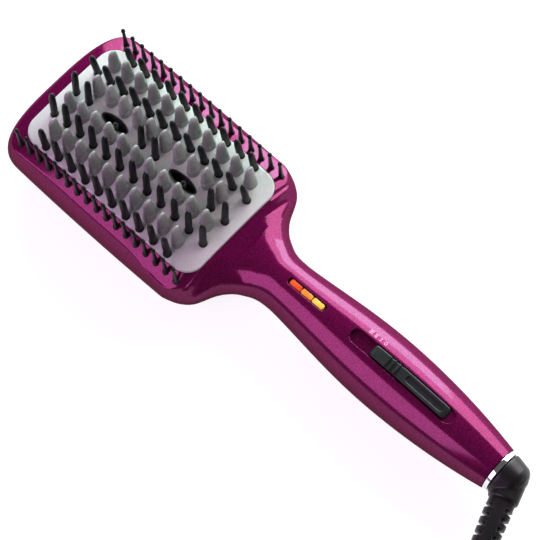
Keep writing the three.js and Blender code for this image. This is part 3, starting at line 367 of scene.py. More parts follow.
def dome(x, y):
    across = np.maximum(0, 1 - (x / CROWN_HALF_WIDTH) ** 2)
    along = np.maximum(0, 1 - (y / CROWN_HALF_LENGTH) ** 2)
    return CROWN_Z - CROWN_RISE + CROWN_RISE * across * along


def beyond_plate(x, y):
    """Distance in plan outside the plate's rounded outline."""
    ax = np.maximum(np.abs(x) - (PLATE_HALF_WIDTH - PLATE_CORNER), 0)
    ay = np.maximum(np.abs(y) - (PLATE_HALF_LENGTH - PLATE_CORNER), 0)
    return np.maximum(np.hypot(ax, ay) - PLATE_CORNER, 0)


def beside_plate(x, y):
    """Distance across from the plate's side, which goes on straight past its corner's turn."""
    past_corner = np.maximum(np.abs(y) - (PLATE_HALF_LENGTH - PLATE_CORNER), 0)
    side = PLATE_HALF_WIDTH - PLATE_CORNER + np.sqrt(np.maximum(PLATE_CORNER ** 2 - past_corner ** 2, 0))
    return np.maximum(np.abs(x) - side, 0)


def face(x, y):
    """The domed frame: it keeps its slope outside the plate, and lets go at the neck."""
    corner = eased(np.abs(x), 8, 20) * eased(np.abs(y), 20, 30)
    at_corner = CORNER_FALL * corner * beyond_plate(x, y)
    fall = mix(at_corner, SIDE_FALL * beside_plate(x, y), eased(-y, 20, 25))
    return dome(x, y) - BAND_DROP - fall + NECK_LIFT * np.maximum(0, -CROWN_HALF_LENGTH - y)


def top_reach(y):
    shoulder = mix(NECK_TOP, WALL_REACH, spline(NECK_RISE, neck_share(y)))
    heights = [WALL_REACH, shoulder, neck_to_grip(y, NECK_TOP, GRIP_TOP)]
    return np.select([y > SHOULDER, y > NECK, y > GRIP], heights, grip_to_end(y, GRIP_TOP, END_TOP))


def belly_reach(y):
    most = AXIS_Z - BELLY_CLEARANCE
    depths = [mix(NECK_BELLY, AXIS_Z, smooth(neck_share(y))), neck_to_grip(y, NECK_BELLY, most)]
    return np.select([y > NECK, y > GRIP], depths, grip_to_end(y, most, END_TOP))


def bulge(depth, most):
    t = np.clip(np.maximum(depth, 0) / most, 0, 1)
    return np.sqrt(2 * t - t * t)


MIDDLE_Y = np.linspace(END - 1, HEAD_FAR, 800)
MIDDLE_INSET = inset(np.zeros(800), MIDDLE_Y)


def roundness(y, most):
    middle = np.interp(y, MIDDLE_Y, MIDDLE_INSET)
    return np.where(y > 0, most, np.minimum(most, middle))


def body_top(x, y):
    x, y = np.broadcast_arrays(np.asarray(x, float), np.asarray(y, float))
    across = np.clip(np.abs(x) / np.maximum(half_width(y), 0.01), 0, 1)
    power = spline(NECK_POWER, neck_share(y))
    section = AXIS_Z + top_reach(y) * (1 - across ** power) ** (1 / power)
    wall = AXIS_Z + WALL_REACH * bulge(inset(x, y), roundness(y, WALL_ROUNDING))
    side = mix(section, wall, eased(neck_share(y), WALL_START, 1 - WALL_START))
    return soft_min(side, face(x, y), RIM_BLEND)


def body_bottom(x, y):
    x, y = np.broadcast_arrays(np.asarray(x, float), np.asarray(y, float))
    return AXIS_Z - belly_reach(y) * bulge(inset(x, y), roundness(y, LAND_MARGIN))


# Meshes
def raw_mesh(name, points, faces):
    mesh = bpy.data.meshes.new(name)
    mesh.from_pydata((np.array(points) * MM).tolist(), [], faces)
    return mesh


def add_object(name, data):
    thing = bpy.data.objects.new(name, data)
    bpy.context.collection.objects.link(thing)
    return thing


def baked(thing, *tools):
    """The smooth mesh that an object's modifiers give; the object and its tools are removed."""
    mesh = bpy.data.meshes.new_from_object(thing.evaluated_get(bpy.context.evaluated_depsgraph_get()))
    for extra in (thing, *tools):
        bpy.data.objects.remove(extra)
    mesh.shade_smooth()
    return mesh


def axes(x, y, z, origin):
    """Frame with the given axes and origin."""
    place = np.eye(4)
    place[:3] = np.stack([x, y, z, origin], 1)
    return place


def placed(points, place):
    return points @ place[:3, :3].T + place[:3, 3]


class Surface:
    """Gathers points with their normals, and faces; one normal may serve all points added."""

    def __init__(self):
        self.points = []
        self.normals = []
        self.faces = []

    def add(self, points, normals):
        points = np.asarray(points, float)
        first = len(self.points)
        self.points.extend(points.reshape(-1, 3))
        self.normals.extend(np.broadcast_to(unit(normals), points.shape).reshape(-1, 3))
        return first + np.arange(points[..., 0].size).reshape(points.shape[:-1])

    def add_merged(self, points, normal):
        """Adds each place once, and gives the numbers of all points."""
        places, number = np.unique(np.round(points, 5), axis=0, return_inverse=True)
        return self.add(places, normal)[number.ravel()]

    def skin(self, index, flip=False, closed=False):
        """Quads over a grid of point numbers; closed joins the last column to the first."""
        index = np.asarray(index)
        if closed:
            index = np.concatenate([index, index[:, :1]], 1)
        a, b, c, d = index[:-1, :-1], index[:-1, 1:], index[1:, 1:], index[1:, :-1]
        quads = np.stack([a, b, c, d] if flip else [a, d, c, b], -1).reshape(-1, 4)
        for quad in quads[(quads >= 0).all(1)].tolist():
            kept = [v for i, v in enumerate(quad) if v != quad[i - 1]]
            if len(set(kept)) == len(kept) and len(kept) > 2:
                self.faces.append(kept)

    def sheet(self, halves, flip=False):
        """Skins the right half of a sheet and the left one, its mirror image."""
        right, left = halves
        self.skin(right, flip)
        self.skin(left, not flip)

    def grid(self, points, flip=False, closed=False):
        index = self.add(points, grid_normals(points, flip, closed))
        self.skin(index, flip, closed)
        return index

    def fan(self, ring, centre, normal, flip=False):
        middle = int(self.add([centre], [normal])[0])
        ring = list(ring)
        for a, b in zip(ring, ring[1:] + ring[:1]):
            self.faces.append([middle, b, a] if flip else [middle, a, b])

    def cap(self, ring, normal, flip=False):
        """A flat end with an edge of its own."""
        self.fan(self.add(ring, normal), ring.mean(0), normal, flip)

    def mesh(self, name):
        mesh = raw_mesh(name, self.points, self.faces)
        mesh.shade_smooth()
        mesh.normals_split_custom_set_from_vertices(np.array(self.normals).tolist())
        return mesh


def grid_normals(points, flip=False, closed=False):
    points = np.asarray(points, float)
    along = np.gradient(points, axis=0)
    if closed:
        across = (np.roll(points, -1, 1) - np.roll(points, 1, 1)) / 2
    else:
        across = np.gradient(points, axis=1)
    normal = np.cross(across, along)
    return unit(normal if flip else -normal)


def put(name, shape, finish, *replaces, slot=None, body="brush_body"):
    """A named piece on its body, with the finish's material; the slot argument is not used."""
    mesh = shape.mesh(name) if isinstance(shape, Surface) else shape
    thing = add_object(name, mesh)
    mesh.materials.clear()
    mesh.materials.append(FINISH[finish])
    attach(thing, body)
    if replaces:
        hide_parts(*replaces)
    return thing


def lathe(profile, sides, place=None, surface=None):
    """A surface turned about Z from (radius, height) pairs, then moved by place."""
    surface = surface or Surface()
    place = np.eye(4) if place is None else place
    profile = np.array(profile, float)
    turn = full_turn(sides)
    ring = np.stack([np.cos(turn), np.sin(turn), np.zeros(sides)], -1)
    step = np.diff(profile, axis=0)
    facing = unit(np.stack([step[:, 1], -step[:, 0]], 1))
    facing = np.concatenate([facing[:1], unit(facing[:-1] + facing[1:]), facing[-1:]])
    points = profile[:, None, :1] * ring + profile[:, None, 1:] * UP
    normals = facing[:, None, :1] * ring + facing[:, None, 1:] * UP
    index = surface.add(placed(points, place), normals @ place[:3, :3].T)
    surface.skin(index, flip=True, closed=True)
    return surface


def rounded(profile, radius, steps=4):
    """The profile with each inner corner replaced by a small arc."""
    profile = [np.array(p, float) for p in profile]
    out = [profile[0]]
    for before, corner, after in zip(profile, profile[1:], profile[2:]):
        a, b = before - corner, after - corner
        la, lb = np.linalg.norm(a), np.linalg.norm(b)
        reach = min(radius, 0.45 * la, 0.45 * lb)
        p, q = corner + a / la * reach, corner + b / lb * reach
        for i in range(steps + 1):
            t = i / steps
            out.append((1 - t) ** 2 * p + 2 * t * (1 - t) * corner + t * t * q)
    out.append(profile[-1])
    return out


class Opening:
    """A rounded opening centred on the handle's line, with its corners' radius."""

    def __init__(self, y, half_x, half_y, corner):
        self.y, self.half_x, self.half_y, self.corner = y, half_x, half_y, corner

    def half_at(self, y, grow=0.0):
        corner = self.corner + grow
        over = np.abs(y - self.y) - (self.half_y + grow - corner)
        arc = np.sqrt(np.maximum(corner ** 2 - np.maximum(over, 0) ** 2, 0))
        wide = self.half_x + grow - corner + arc
        return np.where(np.abs(y - self.y) < self.half_y + grow - TINY, wide, 0.0)

    def inward(self, x, y):
        qx = np.clip(x, self.corner - self.half_x, self.half_x - self.corner)
        qy = np.clip(y - self.y, self.corner - self.half_y, self.half_y - self.corner)
        return unit(np.stack([qx - x, qy - (y - self.y)], -1))

    def stations(self, grow=0.0, steps=10):
        corner = self.corner + grow
        arc = self.half_y + grow - corner * (1 - np.cos(quarter_turn(steps)))
        return np.concatenate([self.y + arc, self.y - arc])


class Oval(Opening):
    """An elliptical opening."""

    def half_at(self, y, grow=0.0):
        t = np.clip((y - self.y) / (self.half_y + grow), -1, 1)
        return (self.half_x + grow) * np.sqrt(1 - t * t)

    def inward(self, x, y):
        return -unit(np.stack([x / self.half_x ** 2, (y - self.y) / self.half_y ** 2], -1))

    def stations(self, grow=0.0, steps=12):
        arc = (self.half_y + grow) * np.cos(quarter_turn(steps))
        return np.concatenate([self.y + arc, self.y - arc])


def slopes(height, x, y, reach=0.01):
    """Normals of a height over the plan."""
    right = height(x + reach, y) - height(x - reach, y)
    far = height(x, y + reach) - height(x, y - reach)
    return unit(np.stack([-right, -far, np.full(np.shape(x), 2 * reach)], -1))


def pulled_in(x, y, least=0.05):
    """Points of the body moved in from its outline, where its slope has no end."""
    depth, inwards = nearest_edge(x, y)
    move = np.maximum(least - depth, 0)[..., None] * inwards
    return x + move[..., 0], y + move[..., 1]


def mirrored(surface, points, normals, used, shared):
    """Adds a right half and its mirror image; shared points of the middle line are added once."""
    right = np.full(points.shape[:2], -1)
    left = right.copy()
    right[used] = surface.add(points[used], normals[used])
    other = used & ~shared
    left[other] = surface.add(points[other] * [-1, 1, 1], normals[other] * [-1, 1, 1])
    left[shared] = right[shared]
    return right, left


def opening_rings(y, opening, grow, *sheets):
    """Point numbers round an opening of each sheet, down its right side and up its left."""
    rows = np.flatnonzero(opening.half_at(y, grow) > TINY)
    low, high = rows[0] - 1, rows[-1] + 1
    return [np.concatenate([right[low:high + 1, 0], left[low + 1:high, 0][::-1]]) for right, left in sheets]


def split_sheet(surface, stations, width, height, openings, columns, grow):
    """Both halves of a sheet with openings along its middle, and the ring of numbers round each."""
    y = descending(stations)
    inner = np.max([opening.half_at(y, grow) for opening in openings], axis=0)
    x = inner[:, None] + (width(y) - inner)[:, None] * np.linspace(0, 1, columns)
    yy = np.broadcast_to(y[:, None], x.shape)
    points = np.stack([x, yy, height(x, yy)], -1)
    shared = np.zeros(x.shape, bool)
    shared[:, 0] = inner < TINY
    halves = mirrored(surface, points, slopes(height, x, yy), np.ones(x.shape, bool), shared)
    surface.sheet(halves)
    return halves, [opening_rings(y, opening, grow, halves)[0] for opening in openings]


def lip(surface, ring, opening, radius, depth, floor=None, steps=4, outwards=False):
    """Rounds the edge of an opening or a plate and goes down its wall; returns the last ring."""
    at = np.array([surface.points[i] for i in ring])
    up = np.array([surface.normals[i] for i in ring])
    way = np.concatenate([opening.inward(at[:, 0], at[:, 1]), np.zeros((len(at), 1))], 1)
    way = -way if outwards else way
    rows = [ring]
    for turn in quarter_turn(steps + 1)[1:]:
        p = at + way * radius * math.sin(turn) - UP * radius * (1 - math.cos(turn))
        rows.append(surface.add(p, up * math.cos(turn) + way * math.sin(turn)))
    last = at + way * radius
    last[:, 2] = last[:, 2] - depth if floor is None else floor
    rows.append(surface.add(last, way))
    surface.skin(np.array(rows), flip=outwards, closed=True)
    return rows[-1]


# Camera
def make_camera():
    data = bpy.data.cameras.new("camera")
    data.lens = CAMERA_LENS
    data.sensor_width = CAMERA_SENSOR
    data.shift_y = CAMERA_SHIFT
    data.clip_end = CAMERA_REACH
    thing = add_object("camera", data)
    right = Vector(CAMERA_RIGHT).normalized()
    up = Vector(CAMERA_UP)
    up = (up - right * up.dot(right)).normalized()
    turn = Matrix((right, up, right.cross(up))).transposed().to_4x4()
    thing.matrix_world = Matrix.Translation(Vector(CAMERA_PLACE)) @ turn
    bpy.context.scene.camera = thing


make_camera()


# Materials. Each starts from one Principled shader, with its grain from noise in object space.
def fill(tree, socket, value):
    """Gives an input a value, or links another node's output to it."""
    if isinstance(value, bpy.types.NodeSocket):
        tree.links.new(value, socket)
    else:
        socket.default_value = value


def add_node(tree, kind, inputs=None, **settings):
    node = tree.nodes.new("ShaderNode" + kind)
    for key, value in settings.items():
        setattr(node, key, value)
    for key, value in (inputs or {}).items():
        fill(tree, node.inputs[key], value)
    return node


def add_ramp(tree, value, *stops):
    """The colour at a value, between two stops of a place and a colour each."""
    ramp = add_node(tree, "ValToRGB", {"Fac": value})
    for element, (place, color) in zip(ramp.color_ramp.elements, stops):
        element.position = place
        element.color = (*color, 1)
    return ramp.outputs["Color"]


class Finish:
    def __init__(self, name, color, roughness, metallic=0.0, **sockets):
        self.material = bpy.data.materials.new(name)
        self.material.use_nodes = True
        self.tree = self.material.node_tree
        self.shader = self.tree.nodes["Principled BSDF"]
        self.place = add_node(self.tree, "TexCoord").outputs["Object"]
        self.set("Base Color", (*color, 1))
        self.set("Roughness", roughness)
        self.set("Metallic", metallic)
        for key, value in sockets.items():
            self.set(key.replace("_", " "), value)

    def set(self, socket, value):
        fill(self.tree, self.shader.inputs[socket], value)

    def noise(self, scale, detail=2.0, stretch=(1, 1, 1)):
        mapping = add_node(self.tree, "Mapping", {"Vector": self.place, "Scale": stretch})
        spots = {"Vector": mapping.outputs["Vector"], "Scale": scale, "Detail": detail}
        return add_node(self.tree, "TexNoise", spots).outputs["Fac"]

    def color(self, value, low, high, low_color, high_color):
        self.set("Base Color", add_ramp(self.tree, value, (low, low_color), (high, high_color)))

    def rough(self, value, low, high):
        reach = {"Value": value, "From Min": 0.3, "From Max": 0.7, "To Min": low, "To Max": high}
        self.set("Roughness", add_node(self.tree, "MapRange", reach).outputs["Result"])

    def bump(self, value, strength, distance):
        relief = {"Height": value, "Strength": strength, "Distance": distance}
        self.set("Normal", add_node(self.tree, "Bump", relief).outputs["Normal"])


def plastic(name, color, roughness, grain=1800, lift=1.5, **sockets):
    finish = Finish(name, color, roughness, **sockets)
    value = finish.noise(grain)
    lighter = tuple(min(1, c * lift + 0.002) for c in color)
    finish.color(value, 0.35, 0.7, color, lighter)
    finish.rough(finish.noise(grain / 6), roughness * 0.9, min(1, roughness * 1.15))
    finish.bump(value, 0.12, 0.0001)
    return finish.material


def metal(name, color, roughness, stretch=(1, 1, 1)):
    finish = Finish(name, color, roughness, metallic=1.0)
    value = finish.noise(900, stretch=stretch)
    finish.color(value, 0.3, 0.7, tuple(c * 0.92 for c in color), color)
    finish.rough(value, roughness * 0.85, roughness * 1.2)
    return finish.material


def berry_gloss():
    finish = Finish("berry_gloss", (0.13, 0.001, 0.052), 0.16, metallic=0.45)
    finish.set("Specular IOR Level", 0.0)
    finish.set("Specular Tint", (0.3, 0.01, 0.15, 1))
    finish.set("Coat Weight", 0.052)
    finish.set("Coat IOR", 4.0)
    finish.set("Coat Roughness", 0.1)
    flakes = finish.noise(2300, detail=1.0)
    finish.color(flakes, 0.4, 0.64, (0.09, 0.0006, 0.036), (0.21, 0.004, 0.085))
    finish.bump(finish.noise(4200, detail=1.0), 0.03, 0.00004)
    return finish.material


def heated_coating():
    finish = Finish("heated_coating", (0.57, 0.59, 0.55), 0.42)
    speckle = finish.noise(2600, detail=3.0)
    finish.color(speckle, 0.3, 0.7, (0.485, 0.505, 0.47), (0.65, 0.675, 0.63))
    finish.rough(finish.noise(400), 0.36, 0.48)
    finish.bump(finish.noise(2600), 0.06, 0.00008)
    return finish.material


def tooth_coating():
    finish = Finish("tooth_coating", (0.27, 0.29, 0.265), 0.34)
    speckle = finish.noise(1400, detail=3.0)
    finish.color(speckle, 0.3, 0.7, (0.22, 0.235, 0.215), (0.34, 0.365, 0.335))
    finish.rough(finish.noise(300), 0.34, 0.46)
    finish.bump(finish.noise(1700), 0.08, 0.0001)
    return finish.material


def lens_finish(name, deep, bright):
    finish = Finish(name, bright, 0.18, Specular_IOR_Level=0.4)
    finish.color(finish.noise(350, stretch=(1, 0.4, 1)), 0.35, 0.65, deep, bright)
    finish.set("Emission Color", finish.shader.inputs["Base Color"].links[0].from_socket)
    finish.set("Emission Strength", 0.1)
    return finish.material


FINISH = {
    "berry_gloss": berry_gloss(),
    "heated_coating": heated_coating(),
    "tooth_coating": tooth_coating(),
    "pin_nylon": plastic("pin_nylon", (0.003, 0.0035, 0.0035), 0.42, Specular_IOR_Level=0.2),
    "outlet_plastic": plastic("outlet_plastic", (0.008, 0.008, 0.008), 0.3),
    "outlet_rim": plastic("outlet_rim", (0.35, 0.36, 0.34), 0.4, lift=1.1),
    "black_plastic": plastic("black_plastic", (0.006, 0.0062, 0.006), 0.36, Specular_IOR_Level=0.3),
    "knob_plastic": plastic("knob_plastic", (0.008, 0.011, 0.0095), 0.4, Specular_IOR_Level=0.3),
    "tray_plastic": plastic("tray_plastic", (0.03, 0.03, 0.032), 0.6),
    "heater_ceramic": plastic("heater_ceramic", (0.62, 0.58, 0.5), 0.7, lift=1.1),
    "steel": metal("steel", (0.55, 0.56, 0.57), 0.32, stretch=(1, 12, 1)),
    "brass": metal("brass", (0.2, 0.16, 0.09), 0.45),
    "circuit_board": plastic("circuit_board", (0.02, 0.16, 0.06), 0.5, grain=500, lift=1.3),
    "trim_chrome": metal("trim_chrome", (0.85, 0.85, 0.87), 0.07),
    "lead_red": plastic("lead_red", (0.4, 0.02, 0.02), 0.5, lift=1.2),
    "lead_blue": plastic("lead_blue", (0.02, 0.06, 0.35), 0.5, lift=1.2),
    "cord_black": plastic("cord_black", (0.008, 0.008, 0.0085), 0.5, grain=900, Specular_IOR_Level=0.3),
    "mark_print": plastic("mark_print", (0.62, 0.28, 0.45), 0.5, lift=1.05),
    "lens_red": lens_finish("lens_red", (0.62, 0.04, 0.008), (0.7, 0.12, 0.03)),
    "lens_orange": lens_finish("lens_orange", (0.72, 0.2, 0.02), (0.8, 0.36, 0.09)),
    "lens_yellow": lens_finish("lens_yellow", (0.78, 0.42, 0.03), (0.82, 0.6, 0.13)),
}


# Mains lead: run down to the floor, coil in four layers, tail to the plug
def run_point(s):
    """The run bends past the end of the handle on a wide arc, and comes down to the floor."""
    turn = s / RUN_RADIUS
    p = BEND + OUTWARD * (RELIEF_REACH + CORD_GAP + RUN_RADIUS * math.sin(turn))
    p = p + ASIDE * RUN_RADIUS * (1 - math.cos(turn))
    down = eased(s, CORD_STRAIGHT, RUN_LENGTH - CORD_STRAIGHT - RUN_LANDING)
    return np.array([p[0], p[1], mix(AXIS_Z, CORD_FLOOR, down)])


RUN_TURN = RUN_LENGTH / RUN_RADIUS
RUN_END = OUTWARD * math.cos(RUN_TURN) + ASIDE * math.sin(RUN_TURN)
COIL_OUTER = COIL_INNER + TURN_PITCH * LAYER_TURNS
COIL_START = run_point(RUN_LENGTH)
COIL_CENTRE = COIL_START + np.cross(UP, RUN_END) * COIL_OUTER
START_TURN = math.atan2(COIL_START[1] - COIL_CENTRE[1], COIL_START[0] - COIL_CENTRE[0])
COIL_TURNS = COIL_LAYERS * LAYER_TURNS


def climb_share(turns):
    return float(smooth(turns / CLIMB_TURNS + 0.5))


def coil_point(turns):
    layer = min(COIL_LAYERS - 1, int(turns / LAYER_TURNS))
    travel = TURN_PITCH * (turns - layer * LAYER_TURNS)
    radius = COIL_OUTER - travel if layer % 2 == 0 else COIL_INNER + travel
    climbed = sum(climb_share(turns - i * LAYER_TURNS) for i in range(1, COIL_LAYERS))
    angle = START_TURN + 2 * math.pi * turns
    return np.array([
        COIL_CENTRE[0] + radius * math.cos(angle),
        COIL_CENTRE[1] + radius * math.sin(angle),
        CORD_FLOOR + climbed * TURN_PITCH,
    ])


TAIL_START = coil_point(COIL_TURNS)
TAIL_TURN = START_TURN + 2 * math.pi * COIL_TURNS
TAIL_OUT = np.array([-math.sin(TAIL_TURN), math.cos(TAIL_TURN), 0.0])
PLUG_START = TAIL_START + TAIL_OUT * (TAIL_LENGTH + PLUG_GAP)
PLUG_ORIGIN = np.array([PLUG_START[0], PLUG_START[1], PLUG_Z])
PLUG_SIDE = np.cross(UP, TAIL_OUT)


def tail_point(s):
    p = TAIL_START + TAIL_OUT * s
    up = eased(s, CORD_STRAIGHT, TAIL_LENGTH - 2 * CORD_STRAIGHT)
    return np.array([p[0], p[1], mix(TAIL_START[2], PLUG_Z, up)])


def cord_route(turn_steps, end_steps):
    run = [run_point(RUN_LENGTH * i / end_steps) for i in range(end_steps + 1)]
    steps = round(COIL_TURNS * turn_steps)
    coil = [coil_point(COIL_TURNS * i / steps) for i in range(1, steps + 1)]
    tail = [tail_point(TAIL_LENGTH * i / end_steps) for i in range(1, end_steps + 1)]
    return np.array(run + coil + tail)


def tube(points, radius, sides):
    """A round section carried along the points without twist, with closed ends."""
    along = unit(np.gradient(points, axis=0))
    up = UP
    turn = full_turn(sides, 0.5)
    rings = []
    for direction in along:
        up = unit(up - direction * (up @ direction))
        side = np.cross(direction, up)
        rings.append(np.cos(turn)[:, None] * side + np.sin(turn)[:, None] * up)
    rings = np.array(rings)
    surface = Surface()
    index = surface.add(points[:, None] + radius * rings, rings)
    surface.skin(index, closed=True)
    for i, sign in ((0, -1), (-1, 1)):
        surface.cap(points[i] + radius * rings[i], sign * along[i], flip=sign > 0)
    return surface


def make_plug():
    """Flat two-pin plug: a flexible neck, ribbed grip and a flat front face."""
    shoulder, front = 35.4, 36
    keys = np.array([
        (0, 4, 4), (9, 5, 4.6), (14, 9, 5.6), (20, 14, 6.5), (27, 16.6, 6.8), (33, 17.4, 6.8),
        (shoulder, 17.4, 6.7), (front, 16.8, 6.2),
    ])
    rib_depth, rib_pitch, first_rib, last_rib = 0.35, 2.6, 18, 31
    s = descending(np.linspace(0, shoulder, 60), np.linspace(shoulder, front, 6))[::-1]
    half_y = spline(keys[:, [0, 1]], s)
    half_z = spline(keys[:, [0, 2]], s)
    wave = np.sin((s - first_rib) * 2 * np.pi / rib_pitch)
    ribs = rib_depth * (wave > 0) * (s > first_rib) * (s < last_rib)
    turn = full_turn(64)
    points = np.stack([
        np.repeat(s[:, None], len(turn), 1),
        (half_y - ribs)[:, None] * signed_power(np.cos(turn), 0.7),
        half_z[:, None] * signed_power(np.sin(turn), 0.7),
    ], -1)
    points = placed(points, axes(TAIL_OUT, PLUG_SIDE, UP, PLUG_ORIGIN))
    surface = Surface()
    surface.grid(points, flip=True, closed=True)
    surface.cap(points[-1], TAIL_OUT)
    surface.cap(points[0], -TAIL_OUT, flip=True)
    pieces = [put("plug", surface, "black_plastic", "plug_body", slot="cord_black")]
    for number, side in (("1", -1), ("2", 1)):
        place = axes(-UP, PLUG_SIDE, TAIL_OUT, PLUG_ORIGIN + PLUG_SIDE * side * CONTACT_OFFSET)
        sleeve = lathe([(0, 36.2), (1.9, 36.2), (1.9, 46.0), (0, 46.0)], 24, place)
        tip = lathe(rounded([(0, 45.9), (2.0, 45.9), (2.0, 55.0), (0, 55.0)], 1.2), 24, place)
        pieces.append(put("plug_sleeve_" + number, sleeve, "black_plastic", slot="cord_black"))
        pieces.append(put("plug_contact_" + number, tip, "brass", "plug_pin_" + number))
    return pieces


cord_path = cord_route(32, 16)
cord_tube = tube(cord_path, CORD_RADIUS, 16)
mains_lead = put("mains_lead", cord_tube, "cord_black", "cord_run", "cord_coil", "cord_tail")
plug_pieces = make_plug()


# Body shells
def long_hole(y, width, length):
    return Opening(y, width / 2, length / 2, width / 2 - 0.01)


PLATE_SIZES = np.array([PLATE_HALF_WIDTH, PLATE_HALF_LENGTH, PLATE_CORNER])
PLATE_HOLE = Opening(0.0, *(PLATE_SIZES + PLATE_GAP))
WINDOW = long_hole(WINDOW_Y, WINDOW_WIDTH, WINDOW_LENGTH)
RECESS = long_hole(RECESS_Y, RECESS_WIDTH, RECESS_LENGTH)
NEAR_COLUMNS = 26
WIDE_COLUMNS = 44


def body_stations(step):
    """Stations of the whole body, close together where the face lets go."""
    face_end = np.arange(-62.6, -58.0, 0.2)
    return np.concatenate([far_stations(44), np.arange(END, HEAD_CORNER, step), face_end, [END]])


def body_normals(height, x, y):
    return slopes(height, *pulled_in(x, y))


def front_points(y):
    """Right half of the front sheet, which points count, and which lie on its middle line."""
    outer = half_width(y)
    outer[0] = FAR_TIP_HALF
    tip = PLATE_HOLE.half_y
    inside = np.abs(y) < tip - TINY
    at_tip = np.where(y > 0, half_width(tip), half_width(-tip))
    beyond = (PLATE_HOLE.half_x - PLATE_HOLE.corner) * outer / at_tip
    middle = np.where(inside, PLATE_HOLE.half_at(y), beyond)
    slots = np.maximum(WINDOW.half_at(y, LIP), RECESS.half_at(y, LIP))
    near = slots[:, None] + (middle - slots)[:, None] * np.linspace(0, 1, NEAR_COLUMNS)
    start = np.arcsin(np.clip(middle / outer, 0, 1))
    angle = start[:, None] + (np.pi / 2 - start)[:, None] * np.linspace(0, 1, WIDE_COLUMNS)
    x = np.concatenate([near, (outer[:, None] * np.sin(angle))[:, 1:]], 1)
    yy = np.broadcast_to(y[:, None], x.shape)
    used = np.ones(x.shape, bool)
    used[inside, :NEAR_COLUMNS - 1] = False
    shared = np.zeros(x.shape, bool)
    shared[:, 0] = ~inside & (slots < TINY)
    top = np.maximum(body_top(x, yy), AXIS_Z + PARTING / 2)
    return np.stack([x, yy, top], -1), used, shared


def plate_ring(y, halves):
    """Point numbers round the plate's hole, down its right side and up its left."""
    right, left = halves
    far, near = [int(np.abs(y - end).argmin()) for end in (PLATE_HOLE.half_y, -PLATE_HOLE.half_y)]
    edge = NEAR_COLUMNS - 1
    return np.concatenate([
        right[far, :edge], right[far:near + 1, edge], right[near, :edge][::-1],
        left[near, 1:edge], left[far:near + 1, edge][::-1], left[far, 1:edge][::-1],
    ])


def recess_floor(surface, wall_end, back):
    """The recess's floor with the slot for the knob's stem, joined to the inner skin."""
    foot = np.array([surface.points[i] for i in wall_end])
    spine_x = np.clip(foot[:, 0], -STEM_SLOT_HALF_WIDTH, STEM_SLOT_HALF_WIDTH)
    spine_y = STEM_SLOT_Y + np.clip(foot[:, 1] - STEM_SLOT_Y, -STEM_SLOT_HALF_LENGTH, STEM_SLOT_HALF_LENGTH)
    slot_edge = np.stack([spine_x, spine_y, np.full(len(foot), RECESS_FLOOR)], 1)
    below = UP * RECESS_FLOOR_THICKNESS
    corner = foot - below
    corner[:, :2] -= RECESS.inward(foot[:, 0], foot[:, 1]) * RECESS_FLOOR_THICKNESS
    rim = surface.add(foot, UP)
    hole = surface.add_merged(slot_edge, UP)
    under = surface.add_merged(slot_edge - below, -UP)
    outer_corner = surface.add(corner, -UP)
    surface.skin(np.array([rim, hole, under, outer_corner, back]), closed=True)


def front_shell():
    """The domed frame, neck and upper handle in one sheet, with rounded openings and an inner skin."""
    y = descending(body_stations(1.1), PLATE_HOLE.stations(), WINDOW.stations(LIP), RECESS.stations(LIP))
    points, used, shared = front_points(y)
    normals = body_normals(body_top, points[..., 0], points[..., 1])
    normals[shared, 0] = 0
    back = points - SHELL * unit(normals)
    back[..., 2] = np.maximum(back[..., 2], AXIS_Z + PARTING / 2)
    surface = Surface()
    outer = mirrored(surface, points, normals, used, shared)
    inner = mirrored(surface, back, -normals, used, shared)
    surface.sheet(outer)
    surface.sheet(inner, flip=True)
    for side in (0, 1):
        surface.skin(np.stack([outer[side][:, -1], inner[side][:, -1]], 1), flip=side == 1)
    for row in (-1, 0):
        ends = [np.concatenate([left[row][::-1], right[row][1:]]) for right, left in (outer, inner)]
        surface.skin(np.array(ends), flip=row == 0)
    window_ring, window_back = opening_rings(y, WINDOW, LIP, outer, inner)
    surface.skin(np.array([lip(surface, window_ring, WINDOW, LIP, SHELL), window_back]), closed=True)
    recess_ring, recess_back = opening_rings(y, RECESS, LIP, outer, inner)
    wall_end = lip(surface, recess_ring, RECESS, LIP, 0, floor=RECESS_FLOOR)
    recess_floor(surface, wall_end, recess_back)
    surface.skin(np.array([plate_ring(y, outer), plate_ring(y, inner)]), closed=True)
    put("front_shell", surface, "berry_gloss", "front_housing")


def posts(radius, low, high, sides=32):
    """Closed round posts at the screws; without a lower end they stand in the shell."""
    points = []
    faces = []
    turn = full_turn(sides)
    for x, y in BODY_SCREWS:
        ring_x = x + radius * np.cos(turn)
        ring_y = y + radius * np.sin(turn)
        foot_z = body_bottom(ring_x, ring_y) + SCREW_BOSS_SINK if low is None else np.full(sides, low)
        foot = [len(points) + i for i in range(sides)]
        head = [i + sides for i in foot]
        points += list(zip(ring_x, ring_y, foot_z)) + list(zip(ring_x, ring_y, np.full(sides, high)))
        faces += [foot[::-1], head]
        faces += [(foot[i - 1], foot[i], head[i], head[i - 1]) for i in range(sides)]
    return raw_mesh("posts", points, faces)


def carved(mesh, steps):
    """The mesh with posts joined to it or cut out of it, one step after the other."""
    thing = add_object(mesh.name, mesh)
    tools = []
    for operation, radius, low, high in steps:
        tools.append(add_object("tool", posts(radius, low, high)))
        cut = thing.modifiers.new(operation, "BOOLEAN")
        cut.operation = operation
        cut.solver = "EXACT"
        cut.object = tools[-1]
    return baked(thing, *tools)


